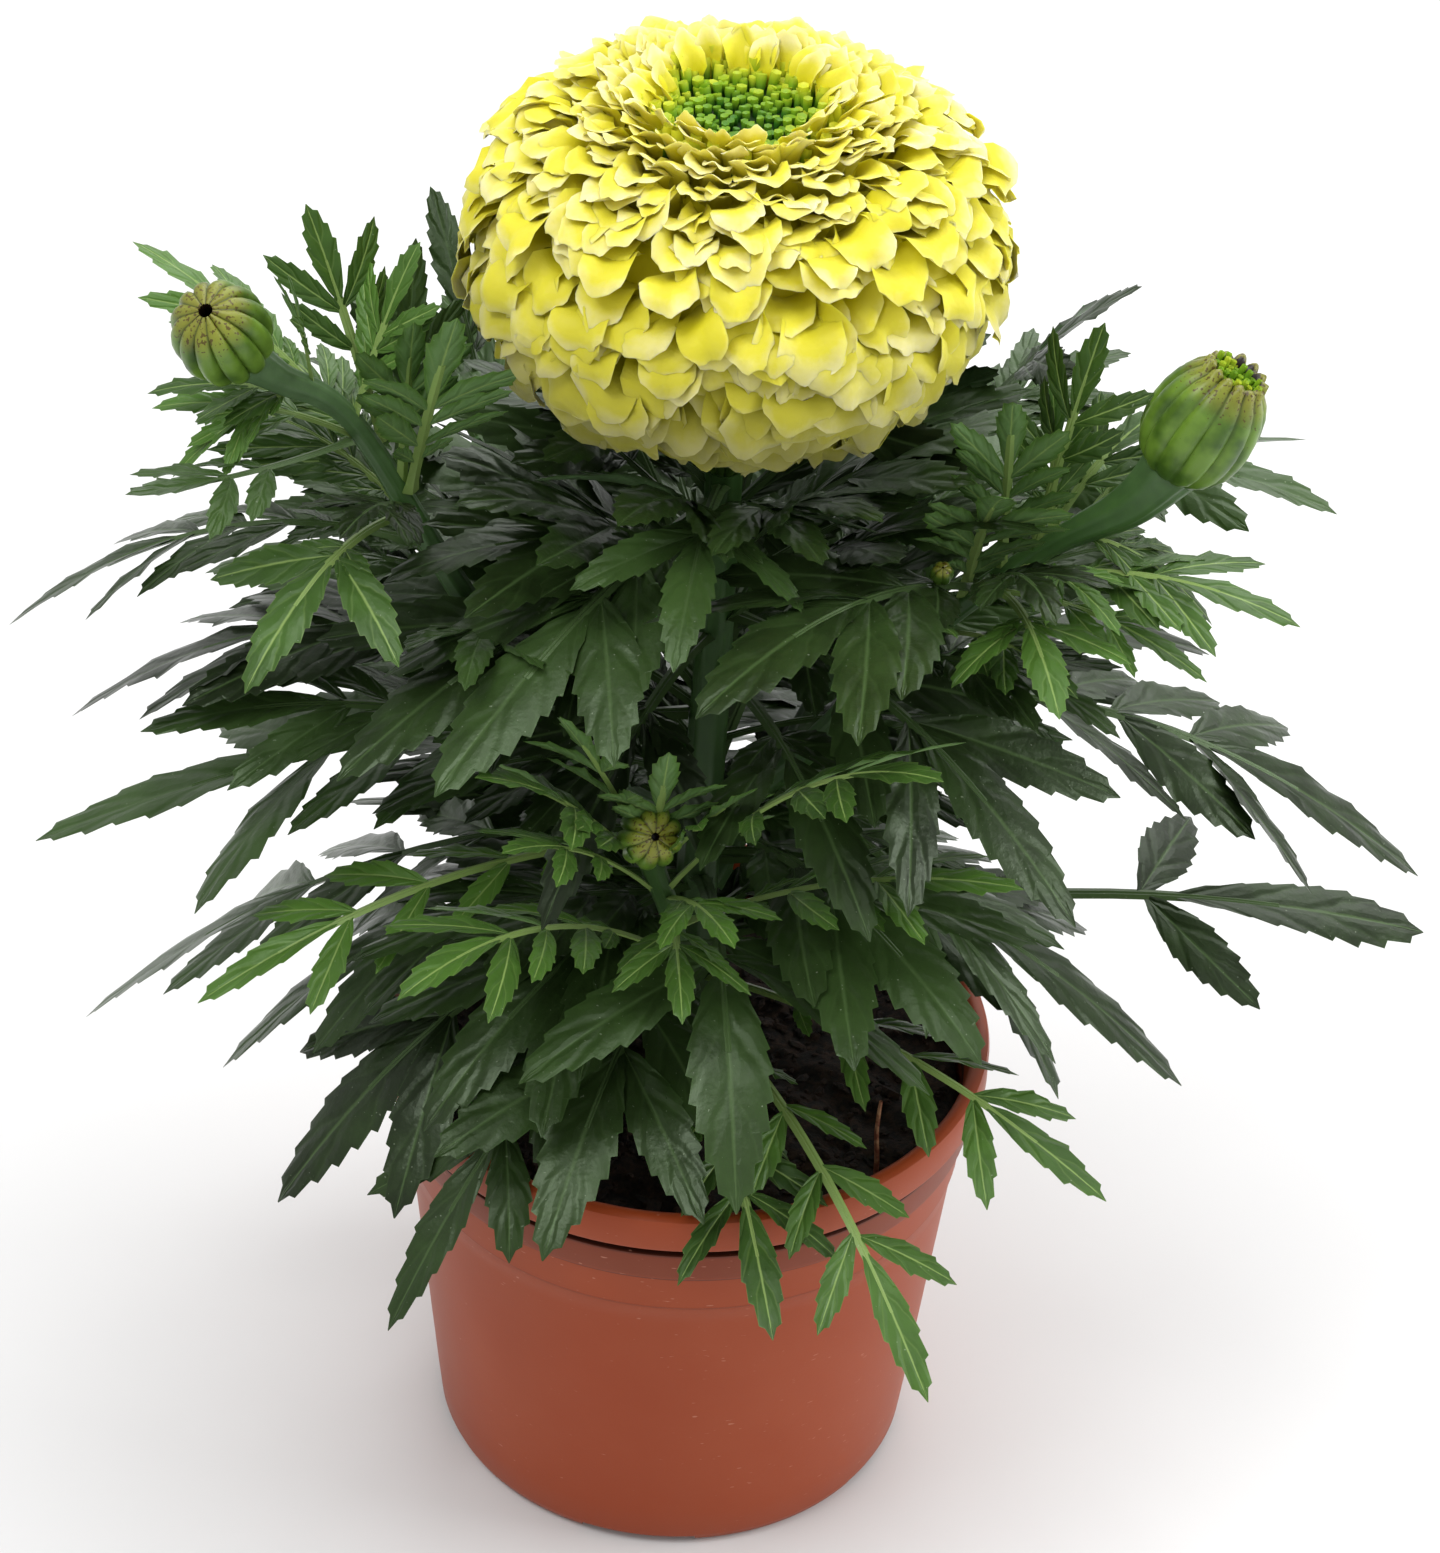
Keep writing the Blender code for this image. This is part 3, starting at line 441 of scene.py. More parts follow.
# A kind of leaf: its midrib's half thickness, its pairs of leaflets, the length and width of these and
# of the end leaflet, their forms, their spread off the midrib in degrees, the share of the midrib that
# is bare of them, and the smaller pairs that it has there.
Leaf = namedtuple("Leaf", "rib pairs leaflet width end end_width form end_form spread bare extra")
LEAFLET_FORMS = {
    # name: teeth, share of the length where it is widest, depth of the notches
    "broad": (9, 0.47, 0.14),
    "lance": (8, 0.48, 0.13),
    "narrow": (6, 0.5, 0.15),
    "spoon": (9, 0.66, 0.16),
}
LEAF_KINDS = {
    "three": Leaf(1.1, 1, 42, 16, 52, 18, "lance", "broad", 58, 0.75, 1),
    "broad": Leaf(1.1, 2, 38, 15, 44, 17, "lance", "broad", 42, 0.32, 1),
    "long": Leaf(1.1, 3, 37, 14, 54, 15, "lance", "lance", 40, 0.24, 1),
    "narrow": Leaf(1.0, 3, 27, 9, 38, 10.5, "narrow", "lance", 42, 0.28, 1),
    "young": Leaf(0.8, 3, 22, 7, 29, 8.5, "narrow", "narrow", 44, 0.28, 1),
    "small": Leaf(0.7, 2, 16, 5.5, 20, 6.5, "narrow", "narrow", 44, 0.35, 0),
    "jutting": Leaf(1.1, 1, 33, 13, 54, 16, "lance", "spoon", 62, 0.6, 0),
}
# The leaves of each side, by number: the stem that bears the leaf, how far it arches as a share of its
# length, its roll in degrees, its kind and whether it is old. Its foot and tip are read from its solid.
Frond = namedtuple("Frond", "stem arch roll kind old", defaults=(True,))
FRONDS = {
    "front": {
        1: Frond("main_stem", 0.14, 0, "broad"),
        2: Frond("main_stem", 0.24, 0, "three"),
        3: Frond("branch_right", 0.26, 0, "broad"),
        4: Frond("branch_front", 0.16, 0, "young", False),
        5: Frond("branch_front", 0.30, 0, "young", False),
        6: Frond("main_stem", 0.40, 0, "three"),
        7: Frond("main_stem", 0.22, 0, "young", False),
        8: Frond("main_stem", 0.20, 0, "young", False),
        9: Frond("main_stem", 0.16, 0, "young", False),
        10: Frond("main_stem", 0.30, 0, "broad"),
        11: Frond("main_stem", 0.24, 6, "broad"),
        12: Frond("main_stem", 0.24, 0, "broad"),
        13: Frond("main_stem", 0.34, 0, "narrow"),
        14: Frond("main_stem", 0.22, 0, "three"),
        15: Frond("main_stem", 0.24, 0, "three"),
    },
    "left": {
        1: Frond("branch_left", 0.12, 10, "young", False),
        2: Frond("branch_left", 0.30, 0, "three", False),
        3: Frond("branch_left", 0.30, 12, "narrow"),
        4: Frond("main_stem", 0.12, 0, "long"),
        5: Frond("main_stem", 0.24, 10, "long"),
        6: Frond("branch_left", 0.30, 10, "long"),
        7: Frond("main_stem", 0.18, 0, "broad"),
        8: Frond("main_stem", 0.20, -6, "young", False),
        9: Frond("branch_left", 0.20, -8, "narrow"),
        10: Frond("main_stem", 0.32, 6, "long"),
        11: Frond("main_stem", 0.36, -6, "broad"),
        12: Frond("branch_left", 0.08, -30, "small", False),
        13: Frond("branch_left", 0.10, -20, "young", False),
        14: Frond("branch_left", -0.06, 0, "small"),
        15: Frond("branch_left", 0.08, 20, "narrow"),
    },
    "right": {
        1: Frond("branch_back_right", 0.14, 0, "three"),
        2: Frond("branch_back_right", 0.26, 0, "narrow"),
        3: Frond("branch_right", 0.18, 0, "young", False),
        4: Frond("branch_right", 0.24, 10, "long"),
        5: Frond("main_stem", 0.14, 12, "jutting"),
        6: Frond("main_stem", 0.28, 0, "long"),
        7: Frond("branch_right", 0.24, 0, "narrow"),
        8: Frond("branch_right", 0.24, 0, "three", False),
        9: Frond("branch_right", 0.10, 20, "small", False),
        10: Frond("main_stem", 0.26, 0, "broad"),
    },
    "back": {
        1: Frond("branch_back_left", 0.10, 0, "three"),
        2: Frond("branch_back_left", 0.28, 0, "long"),
        3: Frond("branch_back_left", 0.28, 0, "long"),
        4: Frond("branch_back_right", 0.28, 0, "long"),
        5: Frond("branch_back_right", 0.28, 0, "long"),
        6: Frond("main_stem", 0.34, 0, "long"),
    },
}


def select_points(mesh, chosen):
    """Selects some points of a mesh in edit mode, by a test of their place."""
    bpy.ops.mesh.select_all(action="DESELECT")
    bpy.ops.object.mode_set(mode="OBJECT")
    for vertex in mesh.vertices:
        vertex.select = chosen(vertex.co)
    bpy.ops.object.mode_set(mode="EDIT")


def close_blade(blade):
    """Gives a flat blade two faces, crowned inside its margin, that meet there in a thin edge."""
    bpy.ops.mesh.select_all(action="DESELECT")
    bpy.ops.mesh.select_non_manifold()
    bpy.ops.mesh.select_all(action="INVERT")
    bpy.ops.transform.translate(value=(0, 0, 0.5))
    bpy.ops.mesh.select_all(action="SELECT")
    bpy.ops.mesh.duplicate()
    bpy.ops.transform.resize(value=(1, 1, -1), center_override=(0, 0, 0))
    bpy.ops.mesh.select_all(action="SELECT")
    bpy.ops.mesh.remove_doubles(threshold=0.0001)
    bpy.ops.object.mode_set(mode="OBJECT")
    recalculate(blade)
    uvs = np.array([loop.uv for loop in blade.data.uv_layers.active.data])
    form = shape_of(blade)
    points = form.points.copy()
    points[:, 1] = (points[:, 1] + 1) / 2
    return Blade(points, form.faces, uvs, (points[:, 2] < 0).astype(float))


def leaflet_form(teeth, widest, notch):
    """Models one toothed leaflet, of unit length along Y and unit half width along X."""
    rows = 2 * teeth + 1
    bpy.ops.mesh.primitive_grid_add(x_subdivisions=LEAFLET_COLUMNS, y_subdivisions=rows, size=2)
    blade = bpy.context.active_object
    bpy.ops.object.mode_set(mode="EDIT")
    bpy.context.tool_settings.mesh_select_mode = (True, False, False)
    for row in range(rows + 1):
        height = 2 * row / rows - 1
        share = row / rows
        if share < widest:
            reach = max(0, cos(pi / 2 * (widest - share) / widest)) ** 0.95
        else:
            reach = max(0, cos(pi / 2 * (share - widest) / (1 - widest))) ** 0.8
        toothed = share > PLAIN_FOOT
        if toothed and row % 2 == 0:
            reach *= 1 - notch
        reach = max(reach, FOOT_WIDTH if share < 0.5 else TIP_WIDTH)
        select_points(blade.data, lambda co: abs(co.y - height) < 0.2 / rows)
        bpy.ops.transform.resize(value=(reach, 1, 1), center_override=(0, height, 0))
        if toothed and row % 2 == 1 and row < rows:
            # The point of a tooth lies forward of the row that it grows from.
            edge = 0.9 * reach
            select_points(blade.data, lambda co: abs(co.y - height) < 0.2 / rows and abs(co.x) > edge)
            bpy.ops.transform.translate(value=(0, 1.5 / rows, 0))
    return close_blade(blade)


class Midrib:
    """A leaf's arched midrib from its foot to its tip, in one upright plane, with its own roll."""

    def __init__(self, foot, tip, arch, roll):
        self.foot, self.tip = foot, tip
        self.bend = (foot + tip) / 2 + np.array((0, 0, arch * np.linalg.norm(tip - foot)))
        self.level = unit(np.array((tip[1] - foot[1], foot[0] - tip[0], 0)))
        self.roll = radians(roll)
        self.length = np.linalg.norm(self.bend - foot) + np.linalg.norm(tip - self.bend)

    def frame(self, shares):
        """Points, forward directions, right-hand directions and upper normals at shares."""
        part = np.atleast_1d(np.asarray(shares, float))[:, None]
        rest = 1 - part
        points = self.foot * rest ** 2 + self.bend * 2 * rest * part + self.tip * part ** 2
        along = unit((self.bend - self.foot) * rest + (self.tip - self.bend) * part)
        turn = self.roll * np.minimum(1, 2 * part)
        right = self.level * np.cos(turn) + np.cross(along, self.level) * np.sin(turn)
        return points, along, right, np.cross(right, along)


# The midrib's cross-section as (right, up) shares: a groove between two ridges, a narrow wing on
# each side, and a rounded keel below.
RIB_SECTION = (
    (1.9, 0.2), (0.55, 0.75), (0, 0.5), (-0.55, 0.75), (-1.9, 0.2), (-0.7, -0.5), (0, -0.85), (0.7, -0.5),
)


def add_marks(mesh, label, values):
    """Gives each point of a mesh a number that its material reads."""
    mesh.attributes.new(label, "FLOAT", "POINT").data.foreach_set("value", np.asarray(values, np.float32))


def leaf_mesh(parts):
    """One mesh from the parts of one leaf or of several, with its place on each blade and its marks."""
    made = joined_mesh(parts)
    uvs = np.concatenate([part.uvs for part in parts])
    made.uv_layers.new(name="blade").data.foreach_set("uv", uvs.ravel())
    for label in ("tone", "underside", "rib"):
        marks = [np.broadcast_to(getattr(part, label), len(part.points)) for part in parts]
        add_marks(made, label, np.concatenate(marks))
    return made


def lay_blade(form, centres, right, upper, half_width, draw, forward):
    """A leaflet's points laid along a line, whose centres, right and upper are given at each of them."""
    x, _, z = form.points.T
    spread = np.abs(x) * half_width
    fold = FOLD * draw.uniform(0.5, 1.3)
    ruffle = draw.uniform(0.25, 0.6)
    phase = draw.uniform(0, 2 * pi)
    waves = draw.uniform(2.2, 3.6)
    wave = ruffle * np.abs(x) ** 2 * np.sin(forward * waves * 2 * pi + phase + 1.5 * (x > 0))
    lift = spread * sin(fold) * (1 - 0.55 * forward) - 0.035 * spread ** 2 + wave
    side = np.sign(x) * spread * cos(fold)
    return centres + right * side[:, None] + upper * (lift + z * BLADE)[:, None]


# Points on the leaves that have grown so far, which later ones keep away from.
leaf_places = []
LEAF_PLACE_STEP = 7


def grow_leaf(line, leaf, draw, tone):
    """The parts of one compound leaf along its midrib: the leaflets of its solid, and smaller ones."""
    size = min(1, line.length / (FULL_LENGTH * leaf.end))
    end_base = 1 - size * leaf.end / line.length
    first = leaf.bare * end_base
    step = (end_base - 0.05 - first) / leaf.pairs
    places = [(first + step * pair, 0.78 + 0.22 * pair / leaf.pairs) for pair in range(1, leaf.pairs + 1)]
    for extra in range(leaf.extra):
        places.insert(0, (max(0.08, places[0][0] - step * 0.8), 0.5 * places[0][1]))

    shares = np.linspace(0, end_base + 0.4 * (1 - end_base), MIDRIB_ROWS)
    centres, along, right, upper = line.frame(shares)
    radii = leaf.rib * np.interp(shares, (0, 0.06, end_base, 1), MIDRIB_TAPER) * sqrt(size)
    rib = skin_along(centres, radii, right, upper, RIB_SECTION)
    faces = [face[::-1] for face in rib.faces]
    uvs = np.full((sum(len(face) for face in faces), 2), 0.5)
    parts = [Blade(rib.points, faces, uvs, 0, tone, 1)]

    form = leaflet_forms[leaf.form]
    forward = form.points[:, 1]
    for share, scale in places:
        for hand in (-1, 1):
            length = size * leaf.leaflet * scale * draw.uniform(0.9, 1.08)
            half_width = size * leaf.width * (0.3 + 0.7 * scale) * draw.uniform(0.9, 1.1) / 2
            spread = radians(leaf.spread + draw.uniform(-6, 6))
            point, ahead, side, normal = (row[0] for row in line.frame(share + draw.uniform(-0.01, 0.01)))
            out = ahead * cos(spread) + side * (hand * sin(spread))
            twist = draw.uniform(-0.35, 0.35)
            across = np.cross(out, normal)
            normal = normal * cos(twist) + across * sin(twist)
            across = np.cross(out, normal)
            curl = (ahead * 0.08 - normal * draw.uniform(0.1, 0.26)) * length
            centres = point + out * (forward * length)[:, None] + curl * (forward ** 2)[:, None]
            droop = np.arctan2(2 * forward * np.linalg.norm(curl), length)[:, None]
            up = normal * np.cos(droop) + out * np.sin(droop)
            points = lay_blade(form, centres, across, up, half_width, draw, forward)
            parts.append(form._replace(points=points, tone=tone + draw.uniform(-0.12, 0.12)))

    form = leaflet_forms[leaf.end_form]
    forward = form.points[:, 1]
    centres, along, right, upper = line.frame(end_base - 0.02 + (1.02 - end_base) * forward)
    points = lay_blade(form, centres, right, upper, size * leaf.end_width / 2, draw, forward)
    parts.append(form._replace(points=points, tone=tone + draw.uniform(-0.1, 0.1)))
    points = np.concatenate([part.points for part in parts])[::LEAF_PLACE_STEP]
    leaf_places.extend(tuple(point) for point in points)
    return parts


def foot_and_tip(node, line):
    """Where a leaf's solid leaves its stem, and its far end."""
    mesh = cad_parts[node].data
    corners = np.unique(np.round(np.array([vertex.co for vertex in mesh.vertices]) / MM, 2), axis=0)
    gaps = np.linalg.norm(corners[:, None] - line[None], axis=2).min(axis=1)
    foot = corners[np.argsort(gaps)[:4]].mean(axis=0)
    reach = np.linalg.norm(corners - foot, axis=1)
    return foot, corners[np.argsort(reach)[-2:]].mean(axis=0)


def leaf_material(name, deep, fresh, vein, below, roughness):
    """A veined leaf surface. Its pattern follows each leaflet: u across it and v along it."""
    made, tree, shader = new_material(
        name, Roughness=roughness, IOR=1.45, Specular_IOR_Level=0.52, Specular_Tint=linear("#d2e6c8"),
        Subsurface_Weight=0.06, Subsurface_Radius=(0.5 * MM, 1.5 * MM, 0.3 * MM),
    )
    place = add_node(tree, "TexCoord", output="Object")
    blade = add_node(tree, "UVMap", uv_map="blade")
    u, v = add_node(tree, "SeparateXYZ", {0: blade}).node.outputs[:2]
    off = add_node(tree, "Math", {0: u, 1: 0.5}, operation="SUBTRACT")
    off = add_node(tree, "Math", {0: off}, operation="ABSOLUTE")
    across = add_node(tree, "Math", {0: off, 1: 2}, operation="MULTIPLY")
    # Side veins leave the midrib forwards, one to each tooth.
    slant = add_node(tree, "Math", {0: across, 1: 1.9}, operation="MULTIPLY")
    rows = add_node(tree, "Math", {0: v, 1: 7}, operation="MULTIPLY")
    saw = add_node(tree, "Math", {0: rows, 1: slant}, operation="SUBTRACT")
    saw = add_node(tree, "Math", {0: saw, 1: 1}, operation="PINGPONG")
    veins = add_node(tree, "Attribute", output="Fac", attribute_name="rib")
    for vein_share in (
        add_node(tree, "MapRange", {0: across, 1: 0.02, 2: 0.09, 3: 1, 4: 0}),
        add_node(tree, "MapRange", {0: saw, 1: 0, 2: 0.16, 3: 0.2, 4: 0}),
    ):
        veins = add_node(tree, "Math", {0: veins, 1: vein_share}, operation="MAXIMUM")
    veined = add_node(tree, "Math", {0: veins, 1: 0.75}, operation="MULTIPLY")
    mottle = add_node(tree, "TexNoise", {"Vector": place, "Scale": 90, "Detail": 5, "Roughness": 0.6})
    tone = add_node(tree, "Attribute", output="Fac", attribute_name="tone")
    shade = add_node(tree, "Math", {0: mottle, 1: tone}, operation="ADD")
    freshness = add_node(tree, "MapRange", {0: shade, 1: 1.45, 2: 0.55, 3: 1, 4: 0})
    underside = add_node(tree, "Attribute", output="Fac", attribute_name="underside")
    # The pale margin is partly the blade's own paler edge and partly a painted highlight along it.
    margin = add_node(tree, "MapRange", {0: across, 1: 1, 2: 0.95, 3: 0.25, 4: 0})
    grit = add_node(tree, "TexNoise", {"Vector": place, "Scale": 1800, "Detail": 0})
    dust = add_node(tree, "MapRange", {0: grit, 1: 0.86, 2: 0.83, 3: 0.3, 4: 0})
    skin = deep
    layers = ((freshness, fresh), (underside, below), (veined, vein), (margin, vein), (dust, "#a9b59c"))
    for share, tint in layers:
        skin = add_node(tree, "Mix", {"Factor": share, "A": skin, "B": tint}, "Result", data_type="RGBA")
    # The blade swells between its veins, which lie in grooves on the upper face.
    swell = add_node(tree, "MapRange", {0: saw, 1: 0, 2: 0.6}, interpolation_type="SMOOTHSTEP")
    off_midrib = add_node(tree, "MapRange", {0: across, 1: 0.25, 2: 0, 3: 1, 4: 0})
    quilt = add_node(tree, "Math", {0: swell, 1: off_midrib}, operation="MULTIPLY")
    pores = add_node(tree, "TexNoise", {"Vector": place, "Scale": 700, "Detail": 3})
    pores = add_node(tree, "Math", {0: pores, 1: 0.5}, operation="MULTIPLY")
    height = add_node(tree, "Math", {0: quilt, 1: pores}, operation="ADD")
    relief = add_node(tree, "Bump", {"Height": height, "Strength": 0.4, "Distance": 0.45 * MM})
    tree.links.new(skin, shader.inputs["Base Color"])
    tree.links.new(relief, shader.inputs["Normal"])
    return made


def finish_leaves(name, parts, old, *nodes):
    """Makes one piece of the parts of leaves of one age."""
    finish, slot = (old_leaf, "old_leaves") if old else (young_leaf, "young_leaves")
    finish_piece(add_object(leaf_mesh(parts)), name, finish, slot, *nodes, sharp=36)


# Mature leaf tissue: thick, dark and waxy, so it mirrors the light as a grey-green gloss.
old_leaf = leaf_material("waxy_mature_leaf", "#17210e", "#3a5227", "#465c34", "#4b6240", 0.31)
# Young leaf tissue: thin and soft, fresh green, with a pale midrib and less gloss.
young_leaf = leaf_material("soft_young_leaf", "#2c441a", "#50762c", "#8fa85f", "#60804b", 0.38)

leaflet_forms = {name: leaflet_form(*cut) for name, cut in LEAFLET_FORMS.items()}
draw = random.Random(5)
for side, fronds in FRONDS.items():
    for number, frond in fronds.items():
        name = f"leaf_{side}_{number}"
        foot, tip = foot_and_tip(name, stem_lines[frond.stem])
        line = Midrib(foot, tip, frond.arch, frond.roll)
        parts = grow_leaf(line, LEAF_KINDS[frond.kind], draw, draw.uniform(0, 0.9))
        finish_leaves("veined_" + name, parts, frond.old, name)

# Young leaves that press round the front bud, each from its own node just under it. They are the
# same as the other young ones, and grow from the front stem.

Sprig = namedtuple("Sprig", "share tip arch roll kind")
SPRIGS = (
    Sprig(0.62, (40, -72, 212), 0.27, 0, "young"),
    Sprig(0.66, (-41, -60, 201), 0.20, 0, "young"),
    Sprig(0.70, (-26.5, -52, 209), 0.10, 14, "small"),
    Sprig(0.78, (-7, -48, 199), 0.06, 0, "small"),
    Sprig(0.74, (9, -50, 193), 0.10, -10, "small"),
    Sprig(0.58, (-36, -66, 189), 0.20, 0, "small"),
    Sprig(0.60, (6, -62, 166), 0.20, 0, "small"),
)
draw = random.Random(8)
parts = []
for sprig in SPRIGS:
    foot = stem_points(STEMS["branch_front"].points, np.array((sprig.share,)))[0]
    line = Midrib(foot, np.array(sprig.tip, float), sprig.arch, sprig.roll)
    parts += grow_leaf(line, LEAF_KINDS[sprig.kind], draw, draw.uniform(0.1, 0.9))
finish_leaves("young_leaves_round_front_bud", parts, False)

# The plant bears more leaves of the same kinds than its solids show: they stand at the nodes between
# the others, in a spiral up each stem, where there is most room.

GOLDEN_ANGLE = pi * (3 - sqrt(5))
# Each filling: its stem, from where to where it stands on it and how many leaves it has, their kinds
# in turn, their lean off the stem in degrees, the length of the lowest and of the highest, whether
# they are old, and the space that they stay in.
Filling = namedtuple("Filling", "stem first last count kinds lean longest shortest old space")
LOW_BACK = ((-66, 12, 104), (68, 92, 150))
HEART = ((-78, -46, 104), (80, 72, 262))
BEHIND = ((-100, 10, 104), (104, 99, 290))
LEFT_HEAD = ((-110, -50, 200), (-24, 40, 300))
RIGHT_HEAD = ((24, -62, 170), (118, 44, 290))
FRONT_HEAD = ((-48, -89, 120), (44, -44, 190))
FILLINGS = (
    Filling("main_stem", 0.30, 0.42, 7, ("broad", "long"), 84, 66, 58, True, LOW_BACK),
    Filling("main_stem", 0.36, 0.62, 18, ("broad", "long", "three", "long"), 96, 84, 62, True, HEART),
    Filling("main_stem", 0.60, 0.93, 22, ("broad", "three", "long", "broad"), 66, 80, 50, True, HEART),
    Filling("branch_left", 0.24, 0.53, 4, ("broad", "narrow"), 66, 56, 46, True, LEFT_HEAD),
    Filling("branch_left", 0.46, 0.74, 9, ("young", "small"), 48, 44, 26, False, LEFT_HEAD),
    Filling("branch_right", 0.24, 0.53, 4, ("broad", "narrow"), 66, 56, 46, True, RIGHT_HEAD),
    Filling("branch_right", 0.35, 0.72, 12, ("young", "small", "young"), 52, 50, 26, False, RIGHT_HEAD),
    Filling("branch_front", 0.38, 0.60, 5, ("young", "small"), 72, 42, 30, False, FRONT_HEAD),
    Filling("branch_back_left", 0.40, 0.98, 9, ("broad", "narrow"), 52, 66, 44, True, BEHIND),
    Filling("branch_back_right", 0.40, 0.98, 9, ("broad", "narrow"), 52, 66, 44, True, BEHIND),
)
LEAF_TRIALS = 14
ROOM_ENOUGH = 16
# Below this height a leaf stays this far from the pot's axis.
RIM_CLEARANCE = (68, 103)
BLOOM_SPACE = ((2, 0, 274), (55, 55, 41))
# Open space before each bud and its stalk: a centre and the room round it.
BUD_SPACES = (
    ((-88, -24, 268), 18), ((-74, -22, 254), 12), ((-84, -40, 280), 14),
    ((86, -14, 252), 19), ((70, -20, 234), 13), ((84, -36, 266), 16),
    ((-9, -50, 178), 15), ((-10, -68, 192), 15), ((41, -32, 229), 11),
)


def has_room(points, space):
    """Whether a midrib stays in its space, out of the bloom and the buds, and clear of the pot's rim."""
    if (points < space[0]).any() or (points > space[1]).any():
        return False
    if (np.linalg.norm((points - BLOOM_SPACE[0]) / BLOOM_SPACE[1], axis=1) < 1).any():
        return False
    for centre, room in BUD_SPACES:
        if (np.linalg.norm(points - centre, axis=1) < room).any():
            return False
    reach = np.linalg.norm(points[:, :2], axis=1)
    return not ((reach < RIM_CLEARANCE[0]) & (points[:, 2] < RIM_CLEARANCE[1])).any()


def roomiest_midrib(filling, share, turn, length, taken, draw):
    """The midrib that keeps furthest from the leaves already there, of some that leave a node one way."""
    foot, ahead = stem_points(STEMS[filling.stem].points, np.array((share, min(1, share + 0.02))))
    axis = unit(ahead - foot)
    level = unit(np.cross(axis, (0.02, 1, 0.01)))
    cross = np.cross(axis, level)
    best, most = None, 0
    for trial in range(LEAF_TRIALS):
        way = turn + radians(draw.uniform(-60, 60))
        tilt = radians(filling.lean + draw.uniform(-16, 16))
        out = axis * cos(tilt) + (level * cos(way) + cross * sin(way)) * sin(tilt)
        tip = foot + out * length * draw.uniform(0.85, 1.1)
        line = Midrib(foot, tip, draw.uniform(0.14, 0.3), draw.uniform(-14, 14))
        points = line.frame(np.linspace(0.4, 1, 8))[0]
        if not has_room(points, filling.space):
            continue
        room = sum(min(ROOM_ENOUGH, taken.find(point)[2]) for point in points)
        if room > most:
            best, most = line, room
    return best


draw = random.Random(21)
for filling in FILLINGS:
    parts = []
    for i in range(filling.count):
        taken = KDTree(len(leaf_places))
        for index, point in enumerate(leaf_places):
            taken.insert(point, index)
        taken.balance()
        part = (i + 0.5) / filling.count
        share = filling.first + (filling.last - filling.first) * part
        length = filling.longest + (filling.shortest - filling.longest) * part
        line = roomiest_midrib(filling, share, i * GOLDEN_ANGLE, length, taken, draw)
        if line is not None:
            leaf = LEAF_KINDS[filling.kinds[i % len(filling.kinds)]]
            parts += grow_leaf(line, leaf, draw, draw.uniform(0, 0.9))
    age = "old" if filling.old else "young"
    finish_leaves(f"{age}_leaves_of_{filling.stem}_{int(filling.first * 100)}", parts, filling.old)

# The buds: heads in a cup of joined bracts, ribbed and yellow-green, brown and speckled round the
# mouth that the florets leave by. The right one has begun to open: its bracts end in ragged teeth,
# and green florets show between them. Each sits on the swollen end of its stalk.

# A bud: its middle and the way it points, its radius and length, its ribs and how deep their grooves
# are, its mouth as a share of its radius, and the height of the teeth round that.
Bud = namedtuple("Bud", "centre axis radius length ribs depth mouth teeth")
BUDS = {
    "left": Bud((-87.0, -21, 266.6), (-0.234, -0.557, 0.797), 8.6, 18, 12, 0.95, 0.15, 0.5),
    "right": Bud((86.3, -12.8, 249.6), (0.413, -0.053, 0.91), 10.2, 22.5, 13, 0.5, 0.45, 1.5),
    "front": Bud((-9.6, -41.5, 175), (0.15, -0.78, 0.6), 5.9, 11, 9, 1.1, 0.13, 0.5),
    "tiny": Bud((41, -23.6, 222.6), (0, -0.5, 0.86), 2.1, 4.2, 6, 1, 0.1, 0.3),
}
TINY_BUD_STALK = ((40, -10.5, 201), (40.2, -13, 209), (41, -22.6, 220.9))
# The skin's reach from one groove between two ribs to the next.
GROOVE = (0.84, 0.95, 1.0, 1.02, 1.03, 1.02, 1.0, 0.95)
BUD_OUTLINE = (
    (0.44, 0), (0.62, 0.02), (0.8, 0.1), (0.93, 0.22), (0.99, 0.36), (1.0, 0.48), (0.97, 0.62), (0.89, 0.76),
    (0.77, 0.87), (0.62, 0.95),
)


def ribbed_head(ribs, depth, profile):
    """A closed form with a groove between each two ribs, extruded up a profile."""
    ring = [1 + depth * (share - 1) for share in GROOVE] * ribs
    return raised_form(len(ring), profile, ring)


